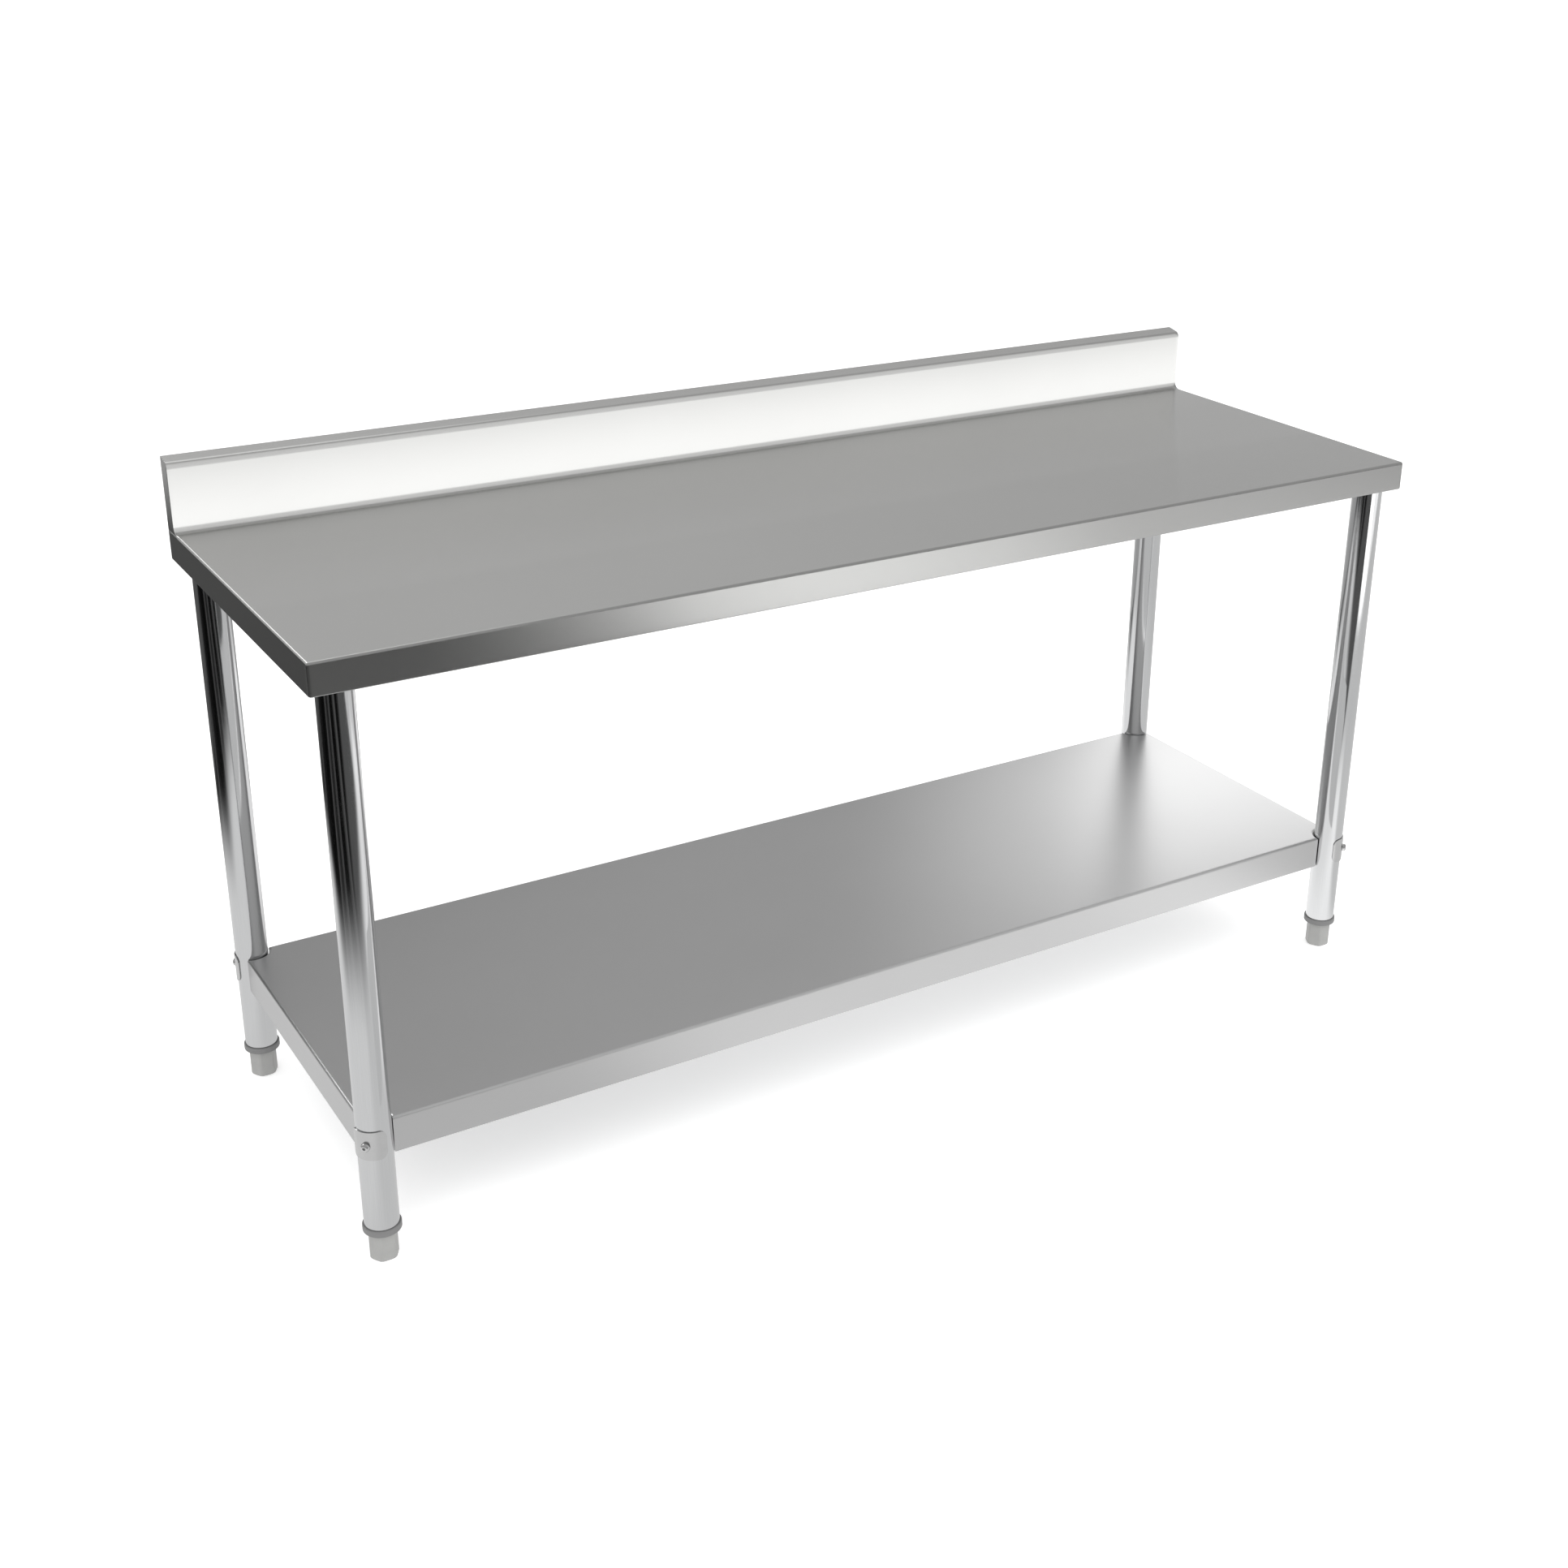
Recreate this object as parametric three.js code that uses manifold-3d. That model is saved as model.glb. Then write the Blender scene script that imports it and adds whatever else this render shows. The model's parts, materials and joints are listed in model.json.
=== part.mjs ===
// Free-standing stainless work table with a rear upstand, a notched undershelf
// clamped to four tubular legs, and levelling feet. Millimetres, +Z up, +X to the
// user's right, +Y to the rear. The origin is on the floor, under the plan centre.

import * as THREE from 'three';
import { mergeVertices } from 'three/addons/utils/BufferGeometryUtils.js';
import Module from 'manifold-3d';

const wasm = await Module();
wasm.setup();

// ---- Driving dimensions -------------------------------------------------------

const TABLE = { width: 1800, depth: 600, height: 880 };
const GAP = 0.3; // clearance between neighbouring pieces
const PAST = 1; // how far a cutting body runs past the face it opens
const SHEET = 1.2; // stainless sheet thickness
const APRON = { drop: 45, hem: 8, bend: 4, corner: 5 };
const SPLASH = { thick: 30, height: 100, rise: 6, cove: 10, frontBend: 10, rearBend: 3 };

const LEG = { radius: 24, wall: 1.2, x: 859, y: 267, sides: 32 };
const SOCKET = {
  plate: 3, plateCorner: 8, cup: 27, bottom: 838, inboard: 62, outboardX: 37, outboardY: 30,
};
const SET_SCREW = { radius: 4, length: 12, z: 850, cone: 1.2, chamfer: 0.8, keyFlats: 4, keyDepth: 5 };

const SHELF = { halfX: 872.5, halfY: 269, top: 210, drop: 55, hem: 11, bend: 4, hemBend: 2, notch: 26 };
const CHANNEL = { crown: 50, flange: 14, drop: 25, sheet: 1.2, bend: 2, offset: 130, endGap: 5 };

const CLIP = { sheet: 1.6, height: 43, z: 188.5, halfAngle: 66, cornerAngle: 27, cornerRise: 12 };
const BOLT = {
  radius: 3, tail: 3, chamfer: 0.8, head: 6.5, rim: 1.6, headHeight: 5.5, crown: 3, keyFlats: 4, keyDepth: 3,
};
const NUT = { flats: 10, thick: 5 };

const FOOT = { flats: 36, height: 43, chamfer: 1.5, topChamfer: 1.2 };
const PLUG = { flange: 26.4, flangeHeight: 10, flangeEdge: 1.5, insert: 36, leadIn: [2, 3] };
const STUD = { radius: 5, bottom: 9, top: 101, chamfer: 1 };

// The four corners: name, and the sign of X and Y at that corner.
const CORNERS = [
  ['front_left', -1, -1],
  ['front_right', 1, -1],
  ['rear_left', -1, 1],
  ['rear_right', 1, 1],
];

// ---- Finishes -----------------------------------------------------------------

const finish = (color, roughness, metalness) => () =>
  new THREE.MeshStandardMaterial({ color, roughness, metalness });
const satinSteel = finish(0xb9bab8, 0.36, 1);
const polishedSteel = finish(0xcfd0d0, 0.14, 1);
const zincSteel = finish(0xa7abae, 0.42, 1);
const brightSteel = finish(0xc4c5c6, 0.24, 1);
const footPlastic = finish(0xb3b4b2, 0.5, 0);
const plugPlastic = finish(0x8c8d8c, 0.52, 0);

// ---- Solid tools --------------------------------------------------------------

function toSolid(geometry) {
  geometry.deleteAttribute('normal');
  geometry.deleteAttribute('uv');
  const merged = mergeVertices(geometry);
  return new wasm.Manifold(new wasm.Mesh({
    numProp: 3,
    vertProperties: new Float32Array(merged.attributes.position.array),
    triVerts: new Uint32Array(merged.index.array),
  }));
}

function toGeometry(solid) {
  const mesh = solid.getMesh();
  const geometry = new THREE.BufferGeometry();
  geometry.setAttribute('position', new THREE.BufferAttribute(mesh.vertProperties, 3));
  geometry.setIndex(new THREE.BufferAttribute(mesh.triVerts, 1));
  geometry.computeVertexNormals();
  return geometry;
}

// A closed outline from corners [u, v, radius]; each radius becomes a round bend.
function outline(corners, steps = 4) {
  const points = [];
  corners.forEach(([u, v, radius = 0], i) => {
    const here = new THREE.Vector2(u, v);
    if (radius === 0) {
      points.push(here);
      return;
    }
    const [pu, pv] = corners[(i + corners.length - 1) % corners.length];
    const [nu, nv] = corners[(i + 1) % corners.length];
    const back = new THREE.Vector2(pu, pv).sub(here).normalize();
    const ahead = new THREE.Vector2(nu, nv).sub(here).normalize();
    const half = Math.acos(THREE.MathUtils.clamp(back.dot(ahead), -1, 1)) / 2;
    const bisector = back.clone().add(ahead).normalize();
    const centre = here.clone().addScaledVector(bisector, radius / Math.sin(half));
    const start = here.clone().addScaledVector(back, radius / Math.tan(half)).sub(centre);
    const turn = (Math.PI - 2 * half) * Math.sign(ahead.cross(back));
    for (let s = 0; s <= steps; s += 1) {
      const arm = start.clone().rotateAround(new THREE.Vector2(), (turn * s) / steps);
      points.push(centre.clone().add(arm));
    }
  });
  return new THREE.Shape(points);
}

// Shapes extruded along one axis, from the low to the high value given.
const BASIS = {
  x: new THREE.Matrix4().makeBasis(
    new THREE.Vector3(0, 1, 0), new THREE.Vector3(0, 0, 1), new THREE.Vector3(1, 0, 0)),
  y: new THREE.Matrix4().makeBasis(
    new THREE.Vector3(1, 0, 0), new THREE.Vector3(0, 0, 1), new THREE.Vector3(0, -1, 0)),
  z: new THREE.Matrix4(),
};

function prism(shape, axis, low, high) {
  const geometry = new THREE.ExtrudeGeometry(shape, { depth: high - low, bevelEnabled: false });
  const start = axis === 'y' ? -high : low;
  geometry.translate(0, 0, start);
  return toSolid(geometry.applyMatrix4(BASIS[axis]));
}

function block(x, y, z) {
  const geometry = new THREE.BoxGeometry(x[1] - x[0], y[1] - y[0], z[1] - z[0]);
  geometry.translate((x[0] + x[1]) / 2, (y[0] + y[1]) / 2, (z[0] + z[1]) / 2);
  return toSolid(geometry);
}

// A closed profile of [radius, z] corners turned about the Z axis.
function turned(profile, sides) {
  const points = profile.map(([radius, z]) => new THREE.Vector2(radius, z));
  if (profile[0][0] > 0) points.push(points[0].clone());
  const geometry = new THREE.LatheGeometry(points, sides);
  geometry.rotateX(Math.PI / 2);
  return toSolid(geometry);
}

const rod = (radius, low, high, sides = 16) =>
  turned([[0, low], [radius, low], [radius, high], [0, high]], sides);

function hexagon(flats) {
  const radius = flats / Math.sqrt(3);
  const corners = [];
  for (let i = 0; i < 6; i += 1) {
    corners.push([radius * Math.cos((i * Math.PI) / 3), radius * Math.sin((i * Math.PI) / 3)]);
  }
  return outline(corners);
}

// A solid built along +Z from a leg's axis, laid flat so that +Z points along the
// corner's diagonal: away from the table, or towards its middle when `inward`.
function alongDiagonal(solid, sx, sy, z, inward = false) {
  const heading = THREE.MathUtils.radToDeg(Math.atan2(sy, sx)) + (inward ? 180 : 0);
  return solid.rotate([0, 90, 0]).rotate([0, 0, heading]).translate([sx * LEG.x, sy * LEG.y, z]);
}

// ---- Worktop ------------------------------------------------------------------

const halfW = TABLE.width / 2;
const halfD = TABLE.depth / 2;
const apronBottom = TABLE.height - APRON.drop;
const splashFront = halfD - SPLASH.thick;
const capSlope = SPLASH.rise / SPLASH.thick;

const capHeight = (y, inset) =>
  TABLE.height + SPLASH.height + (y - splashFront) * capSlope - inset * Math.hypot(1, capSlope);

// Side view of the bent sheet, moved inward by `inset`, with its lowest edge at `low`.
function sideView(inset, low) {
  const front = splashFront + inset;
  const rear = halfD - inset;
  return outline([
    [-halfD + inset, low],
    [-halfD + inset, TABLE.height - inset, APRON.bend - inset],
    [front, TABLE.height - inset, SPLASH.cove + inset],
    [front, capHeight(front, inset), SPLASH.frontBend - inset],
    [rear, capHeight(rear, inset), SPLASH.rearBend - inset],
    [rear, low],
  ]);
}

// Front view of the worktop without its upstand.
function frontView(inset, low) {
  const half = halfW - inset;
  const top = TABLE.height - inset;
  return outline([
    [-half, low],
    [half, low],
    [half, top, APRON.bend - inset],
    [-half, top, APRON.bend - inset],
  ]);
}

const coveStart = splashFront - SPLASH.cove;
const aboveSplash = TABLE.height + SPLASH.height + SPLASH.rise + PAST;

// Plan of the worktop, with rounded front corners.
function planView(inset) {
  const x = halfW - inset;
  const y = halfD - inset;
  const radius = APRON.corner - inset;
  return outline([[-x, -y, radius], [x, -y, radius], [x, y], [-x, y]], 5);
}

function worktopSkin() {
  const low = apronBottom - PAST;
  const bentSides = prism(frontView(0, apronBottom), 'y', -halfD - PAST, halfD + PAST)
    .add(block([-halfW, halfW], [coveStart, halfD], [TABLE.height - APRON.bend, aboveSplash]));
  const outer = prism(sideView(0, apronBottom), 'x', -halfW, halfW)
    .intersect(bentSides)
    .intersect(prism(planView(0), 'z', low, aboveSplash));
  const openEnds = block([-halfW - PAST, halfW + PAST], [coveStart + PAST, halfD],
    [TABLE.height - SHEET, aboveSplash]);
  const underSheet = prism(frontView(SHEET, low), 'y', -halfD - PAST, halfD + PAST)
    .intersect(prism(planView(SHEET), 'z', low - PAST, aboveSplash));
  const hollow = prism(sideView(SHEET, low), 'x', -halfW - PAST, halfW + PAST)
    .intersect(underSheet.add(openEnds));
  const hem = outer
    .intersect(block([-halfW, halfW], [-halfD, halfD], [apronBottom, apronBottom + SHEET]))
    .subtract(block([-halfW + APRON.hem, halfW - APRON.hem], [-halfD + APRON.hem, halfD - APRON.hem],
      [apronBottom - PAST, apronBottom + SHEET + PAST]));
  return outer.subtract(hollow).add(hem);
}

// Flat plate that closes one end of the hollow upstand, flush with the side apron.
function splashEndCap(side) {
  const inset = SHEET + GAP;
  const front = splashFront + inset;
  const rear = halfD - inset;
  const bottom = TABLE.height - SHEET + GAP;
  const coveCentre = TABLE.height + SPLASH.cove;
  const radius = SPLASH.cove + inset;
  const lowest = -Math.asin((coveCentre - bottom) / radius);
  const corners = [
    [front, capHeight(front, inset), SPLASH.frontBend - inset],
    [rear, capHeight(rear, inset), SPLASH.rearBend - inset],
    [rear, bottom],
  ];
  const arcSteps = 6;
  for (let s = 0; s <= arcSteps; s += 1) {
    const angle = lowest * (1 - s / arcSteps);
    corners.push([coveStart + radius * Math.cos(angle), coveCentre + radius * Math.sin(angle)]);
  }
  const outerFace = side * halfW;
  const innerFace = side * (halfW - SHEET);
  return prism(outline(corners), 'x', Math.min(outerFace, innerFace), Math.max(outerFace, innerFace));
}

// Hat-section stiffener with its flanges up, centred on (0, 0) with its flange top at z = 0.
function hatChannel(axis, low, high) {
  const web = CHANNEL.crown / 2;
  const edge = web + CHANNEL.flange;
  const inner = web - CHANNEL.sheet;
  const shape = outline([
    [-edge, 0], [-edge, -CHANNEL.sheet], [-web, -CHANNEL.sheet], [-web, -CHANNEL.drop, CHANNEL.bend],
    [web, -CHANNEL.drop, CHANNEL.bend], [web, -CHANNEL.sheet], [edge, -CHANNEL.sheet], [edge, 0],
    [inner, 0], [inner, -CHANNEL.drop + CHANNEL.sheet], [-inner, -CHANNEL.drop + CHANNEL.sheet], [-inner, 0],
  ]);
  return prism(shape, axis, low, high);
}

const underTop = TABLE.height - SHEET - GAP;
const longChannelEnd = LEG.x - SOCKET.inboard - CHANNEL.endGap;
const crossChannelEnd = LEG.y - SOCKET.inboard - CHANNEL.endGap;
const crossChannelX = longChannelEnd + CHANNEL.crown / 2 + CHANNEL.flange + GAP;
const shelfChannelEnd = LEG.x - SHELF.notch - CHANNEL.flange;

// ---- Legs and their sockets ---------------------------------------------------

function legSocket(sx, sy) {
  const x = [sx * (LEG.x - SOCKET.inboard), sx * (LEG.x + SOCKET.outboardX)].sort((a, b) => a - b);
  const y = [sy * (LEG.y - SOCKET.inboard), sy * (LEG.y + SOCKET.outboardY)].sort((a, b) => a - b);
  const corners = [[x[0], y[0]], [x[1], y[0]], [x[1], y[1]], [x[0], y[1]]];
  const plate = prism(outline(corners.map((corner) => [...corner, SOCKET.plateCorner])),
    'z', underTop - SOCKET.plate, underTop);
  const cup = rod(SOCKET.cup, SOCKET.bottom, underTop - SOCKET.plate + PAST, LEG.sides)
    .translate([sx * LEG.x, sy * LEG.y, 0]);
  const bore = rod(LEG.radius + GAP, SOCKET.bottom - PAST, underTop - SOCKET.plate, LEG.sides)
    .translate([sx * LEG.x, sy * LEG.y, 0]);
  const screwHole = alongDiagonal(rod(SET_SCREW.radius + GAP, LEG.radius - PAST, SOCKET.cup + PAST),
    sx, sy, SET_SCREW.z, true);
  return plate.add(cup).subtract(bore).subtract(screwHole);
}

// Grub screw that pinches the leg, on the inboard side of the socket.
function setScrew(sx, sy) {
  const start = LEG.radius + GAP;
  const end = start + SET_SCREW.length;
  const body = turned([
    [0, start], [SET_SCREW.radius - SET_SCREW.cone, start],
    [SET_SCREW.radius, start + SET_SCREW.cone], [SET_SCREW.radius, end - SET_SCREW.chamfer],
    [SET_SCREW.radius - SET_SCREW.chamfer, end], [0, end],
  ], 16);
  const key = prism(hexagon(SET_SCREW.keyFlats), 'z', end - SET_SCREW.keyDepth, end + PAST);
  return alongDiagonal(body.subtract(key), sx, sy, SET_SCREW.z, true);
}

const legBottom = FOOT.height + PLUG.flangeHeight + 2 * GAP;
const legTop = underTop - SOCKET.plate - GAP;

function legTube(sx, sy) {
  const inner = LEG.radius - LEG.wall;
  const tube = turned([
    [inner, legBottom], [LEG.radius, legBottom], [LEG.radius, legTop], [inner, legTop],
  ], LEG.sides).translate([sx * LEG.x, sy * LEG.y, 0]);
  const crossHole = rod(BOLT.radius + GAP, -LEG.radius - PAST, LEG.radius + PAST);
  return tube.subtract(alongDiagonal(crossHole, sx, sy, CLIP.z));
}

// ---- Undershelf ---------------------------------------------------------------

// Plan of the shelf moved inward by `inset`: a rectangle whose corners are notched
// round the legs.
function shelfPlan(inset) {
  const x = SHELF.halfX - inset;
  const y = SHELF.halfY - inset;
  const radius = SHELF.notch + inset;
  const arcSteps = 10;
  const points = [];
  [[1, -1], [1, 1], [-1, 1], [-1, -1]].forEach(([sx, sy]) => {
    const onSide = -Math.acos((x - LEG.x) / radius);
    const onFront = -Math.PI - Math.asin((y - LEG.y) / radius);
    const clockwise = sx * sy < 0;
    for (let s = 0; s <= arcSteps; s += 1) {
      const t = clockwise ? 1 - s / arcSteps : s / arcSteps;
      const angle = THREE.MathUtils.lerp(onSide, onFront, t);
      points.push(new THREE.Vector2(
        sx * (LEG.x + radius * Math.cos(angle)), sy * (LEG.y + radius * Math.sin(angle))));
    }
  });
  return new THREE.Shape(points);
}

const shelfBottom = SHELF.top - SHELF.drop;

function shelfTray() {
  const bentEdges = (halfWidth) => outline([
    [-halfWidth, shelfBottom, SHELF.hemBend], [halfWidth, shelfBottom, SHELF.hemBend],
    [halfWidth, SHELF.top, SHELF.bend], [-halfWidth, SHELF.top, SHELF.bend],
  ]);
  const outer = prism(shelfPlan(0), 'z', shelfBottom, SHELF.top)
    .intersect(prism(bentEdges(SHELF.halfY), 'x', -halfW, halfW))
    .intersect(prism(bentEdges(SHELF.halfX), 'y', -halfD, halfD));
  const hollow = prism(shelfPlan(SHEET), 'z', shelfBottom + SHEET, SHELF.top - SHEET);
  const hemHole = prism(shelfPlan(SHELF.hem), 'z', shelfBottom - PAST, shelfBottom + SHEET + PAST);
  let tray = outer.subtract(hollow).subtract(hemHole);
  CORNERS.forEach(([, sx, sy]) => {
    const hole = rod(BOLT.radius + GAP, -SHELF.notch - SHEET - PAST, -SHELF.notch + PAST);
    tray = tray.subtract(alongDiagonal(hole, sx, sy, CLIP.z));
  });
  return tray;
}

// ---- Shelf fixings ------------------------------------------------------------

// Curved clamp plate on the outer side of a leg, with rounded corners.
function shelfClip(sx, sy) {
  const inner = LEG.radius + GAP;
  const outer = inner + CLIP.sheet;
  const half = THREE.MathUtils.degToRad(CLIP.halfAngle);
  const cornerStart = THREE.MathUtils.degToRad(CLIP.halfAngle - CLIP.cornerAngle);
  const sector = new THREE.Shape();
  sector.absarc(0, 0, outer, -half, half, false);
  sector.absarc(0, 0, inner, half, -half, true);
  const band = prism(sector, 'z', -CLIP.height / 2, CLIP.height / 2);
  // Seen along the diagonal the rounded corners are quarter ellipses.
  const edge = outer * Math.sin(half) + PAST;
  const start = outer * Math.sin(cornerStart);
  const points = [];
  const steps = 4;
  [[1, 1], [-1, 1], [-1, -1], [1, -1]].forEach(([su, sv]) => {
    for (let s = 0; s <= steps; s += 1) {
      const t = ((su * sv > 0 ? s : steps - s) / steps) * (Math.PI / 2);
      points.push(new THREE.Vector2(
        su * (start + (edge - start) * Math.cos(t)),
        sv * (CLIP.height / 2 - CLIP.cornerRise * (1 - Math.sin(t)))));
    }
  });
  const face = prism(new THREE.Shape(points), 'x', 0, outer + PAST);
  const hole = rod(BOLT.radius + GAP, 0, outer + PAST).rotate([0, 90, 0]);
  const heading = THREE.MathUtils.radToDeg(Math.atan2(sy, sx));
  return band.intersect(face).subtract(hole)
    .rotate([0, 0, heading]).translate([sx * LEG.x, sy * LEG.y, CLIP.z]);
}

const nutFace = SHELF.notch + SHEET + GAP;
const clipFace = LEG.radius + GAP + CLIP.sheet + GAP;

// Button-head bolt that runs from the clip through the leg and the shelf corner.
function clipBolt(sx, sy) {
  const tip = -(nutFace + NUT.thick + BOLT.tail);
  const top = clipFace + BOLT.headHeight;
  const rim = clipFace + BOLT.rim;
  const profile = [
    [0, tip], [BOLT.radius - BOLT.chamfer, tip], [BOLT.radius, tip + BOLT.chamfer],
    [BOLT.radius, clipFace], [BOLT.head, clipFace],
  ];
  const domeSteps = 4;
  for (let s = 0; s <= domeSteps; s += 1) {
    const angle = (s / domeSteps) * (Math.PI / 2);
    profile.push([
      BOLT.crown + (BOLT.head - BOLT.crown) * Math.cos(angle),
      rim + (top - rim) * Math.sin(angle),
    ]);
  }
  profile.push([0, top]);
  const key = prism(hexagon(BOLT.keyFlats), 'z', top - BOLT.keyDepth, top + PAST);
  return alongDiagonal(turned(profile, 20).subtract(key), sx, sy, CLIP.z);
}

function clipNut(sx, sy) {
  const nut = prism(hexagon(NUT.flats), 'z', -nutFace - NUT.thick, -nutFace)
    .subtract(rod(BOLT.radius + GAP, -nutFace - NUT.thick - PAST, -nutFace + PAST));
  return alongDiagonal(nut, sx, sy, CLIP.z);
}

// ---- Levelling feet -----------------------------------------------------------

// Ring and insert pressed into the leg's lower end, threaded for the stud.
function footPlug(sx, sy) {
  const bottom = FOOT.height + GAP;
  const shoulder = bottom + PLUG.flangeHeight;
  const insert = LEG.radius - LEG.wall - GAP;
  const bore = STUD.radius + GAP;
  return turned([
    [bore, bottom], [PLUG.flange - PLUG.flangeEdge, bottom],
    [PLUG.flange, bottom + PLUG.flangeEdge], [PLUG.flange, shoulder - PLUG.flangeEdge],
    [PLUG.flange - PLUG.flangeEdge, shoulder], [insert, shoulder],
    [insert, shoulder + PLUG.insert - PLUG.leadIn[1]],
    [insert - PLUG.leadIn[0], shoulder + PLUG.insert], [bore, shoulder + PLUG.insert],
  ], 24).translate([sx * LEG.x, sy * LEG.y, 0]);
}

// Hexagonal foot, its corners blunted at the sole and at the top.
function foot(sx, sy) {
  const around = FOOT.flats / Math.sqrt(3) + 0.5; // just outside the hexagon's corners
  const sole = turned([
    [0, 0], [around - FOOT.chamfer, 0], [around, FOOT.chamfer],
    [around, FOOT.height - FOOT.topChamfer], [around - FOOT.topChamfer, FOOT.height], [0, FOOT.height],
  ], 36);
  return sole.intersect(prism(hexagon(FOOT.flats), 'z', -PAST, FOOT.height + PAST))
    .subtract(rod(STUD.radius + GAP, STUD.bottom - GAP, FOOT.height + PAST))
    .translate([sx * LEG.x, sy * LEG.y, 0]);
}

function footStud(sx, sy) {
  return turned([
    [0, STUD.bottom], [STUD.radius, STUD.bottom], [STUD.radius, STUD.top - STUD.chamfer],
    [STUD.radius - STUD.chamfer, STUD.top], [0, STUD.top],
  ], 16).translate([sx * LEG.x, sy * LEG.y, 0]);
}

// ---- Assembly -----------------------------------------------------------------

const table = new THREE.Group();

function place(name, solid, material) {
  const mesh = new THREE.Mesh(toGeometry(solid), material());
  mesh.name = name;
  table.add(mesh);
}

place('worktop_skin', worktopSkin(), satinSteel);
place('splash_end_cap_left', splashEndCap(-1), satinSteel);
place('splash_end_cap_right', splashEndCap(1), satinSteel);
place('worktop_channel_front', hatChannel('x', -longChannelEnd, longChannelEnd)
  .translate([0, -CHANNEL.offset, underTop]), zincSteel);
place('worktop_channel_rear', hatChannel('x', -longChannelEnd, longChannelEnd)
  .translate([0, CHANNEL.offset, underTop]), zincSteel);
[['left', -1], ['right', 1]].forEach(([side, sx]) => {
  place(`worktop_cross_channel_${side}`, hatChannel('y', -crossChannelEnd, crossChannelEnd)
    .translate([sx * crossChannelX, 0, underTop]), zincSteel);
});
place('shelf_tray', shelfTray(), satinSteel);
[['front', -1], ['rear', 1]].forEach(([side, sy]) => {
  place(`shelf_channel_${side}`, hatChannel('x', -shelfChannelEnd, shelfChannelEnd)
    .translate([0, sy * CHANNEL.offset, SHELF.top - SHEET - GAP]), zincSteel);
});

CORNERS.forEach(([corner, sx, sy]) => {
  place(`leg_socket_${corner}`, legSocket(sx, sy), zincSteel);
  place(`socket_screw_${corner}`, setScrew(sx, sy), brightSteel);
  place(`leg_${corner}`, legTube(sx, sy), polishedSteel);
  place(`shelf_clip_${corner}`, shelfClip(sx, sy), brightSteel);
  place(`clip_bolt_${corner}`, clipBolt(sx, sy), brightSteel);
  place(`clip_nut_${corner}`, clipNut(sx, sy), zincSteel);
  place(`foot_plug_${corner}`, footPlug(sx, sy), plugPlastic);
  place(`foot_stud_${corner}`, footStud(sx, sy), zincSteel);
  place(`foot_${corner}`, foot(sx, sy), footPlastic);
});

export default table;
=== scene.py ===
"""Stainless work table with a rear upstand and an undershelf, in a pale studio.

Metres, +Z up, +X to the user's right, +Y to the rear. Sheet metal is drawn as its outer
surface and given its thickness by a Solidify modifier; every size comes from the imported
frame's boxes or from the named values below.
"""

import json
import math

import bmesh
import bpy
from mathutils import Matrix, Vector


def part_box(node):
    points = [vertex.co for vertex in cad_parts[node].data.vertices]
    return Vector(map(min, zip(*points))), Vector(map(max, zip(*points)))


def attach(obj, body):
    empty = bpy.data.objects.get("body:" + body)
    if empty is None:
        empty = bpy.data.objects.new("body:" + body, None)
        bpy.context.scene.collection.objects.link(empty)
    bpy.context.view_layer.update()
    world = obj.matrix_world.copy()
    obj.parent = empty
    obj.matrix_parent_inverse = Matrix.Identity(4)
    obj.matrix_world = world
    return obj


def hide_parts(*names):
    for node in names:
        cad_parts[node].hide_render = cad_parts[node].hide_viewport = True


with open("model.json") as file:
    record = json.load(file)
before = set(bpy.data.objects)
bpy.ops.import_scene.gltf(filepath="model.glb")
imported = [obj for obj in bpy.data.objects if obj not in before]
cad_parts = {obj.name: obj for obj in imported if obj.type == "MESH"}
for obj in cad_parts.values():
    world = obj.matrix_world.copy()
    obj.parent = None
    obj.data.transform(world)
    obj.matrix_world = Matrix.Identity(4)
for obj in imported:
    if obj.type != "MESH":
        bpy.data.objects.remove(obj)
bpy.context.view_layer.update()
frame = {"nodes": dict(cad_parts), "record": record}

MM = 0.001
GAP = 0.3 * MM              # between neighbouring pieces, as in the CAD
POLE = 0.01 * MM            # radius of the ring that closes a turned piece on its axis
MERGE = 2e-6                # points closer than this are one
SHORTEST_EDGE = 1e-7
CORNERS = [("front_left", -1, -1), ("front_right", 1, -1), ("rear_left", -1, 1), ("rear_right", 1, 1)]

# ---- Sizes read from the frame ---------------------------------------------------

skin_low, skin_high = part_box("worktop_skin")
tray_low, tray_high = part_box("shelf_tray")
HALF_W = skin_high.x
HALF_D = skin_high.y
APRON_BOTTOM = skin_low.z
WORKTOP = next(m["pos_m"][2] for m in frame["record"]["mounts"] if m["name"] == "worktop_surface")
SHELF_TOP = tray_high.z
SHELF_BOTTOM = tray_low.z


def centre(node):
    low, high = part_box(node)
    return (low + high) / 2


def tube_radius(corner):
    low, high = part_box(f"leg_{corner}")
    return (high.x - low.x) / 2


def leg_axis(corner):
    """Foot of the leg's axis, on the floor."""
    middle = centre(f"foot_plug_{corner}")
    return Vector((middle.x, middle.y, 0))


def outward(sx, sy):
    """Horizontal direction of the corner's diagonal, away from the table."""
    return Vector((sx, sy, 0)).normalized()


# ---- Sizes of the bent sheet -----------------------------------------------------

SHEET = 1.2 * MM
BEND = 4 * MM
HEM = 8 * MM
HEM_BEND = 1.6 * MM
SPLASH_THICK = 30 * MM
SPLASH_HEIGHT = 100 * MM
SPLASH_RISE = 6 * MM
SPLASH_COVE = 10 * MM
SPLASH_FRONT_BEND = 10 * MM
SPLASH_REAR_BEND = 3 * MM
WELDED_BEND = 1.4 * MM      # the side bend is ground down where it meets the upstand
SUPPORT = 3 * MM            # width of the narrow row of faces beside each bend
HEM_RISE = 8 * MM           # height of the row of faces above each hem
HEM_STEPS = 4
TRAY_HEM = 11 * MM
NOTCH = 26 * MM


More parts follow.
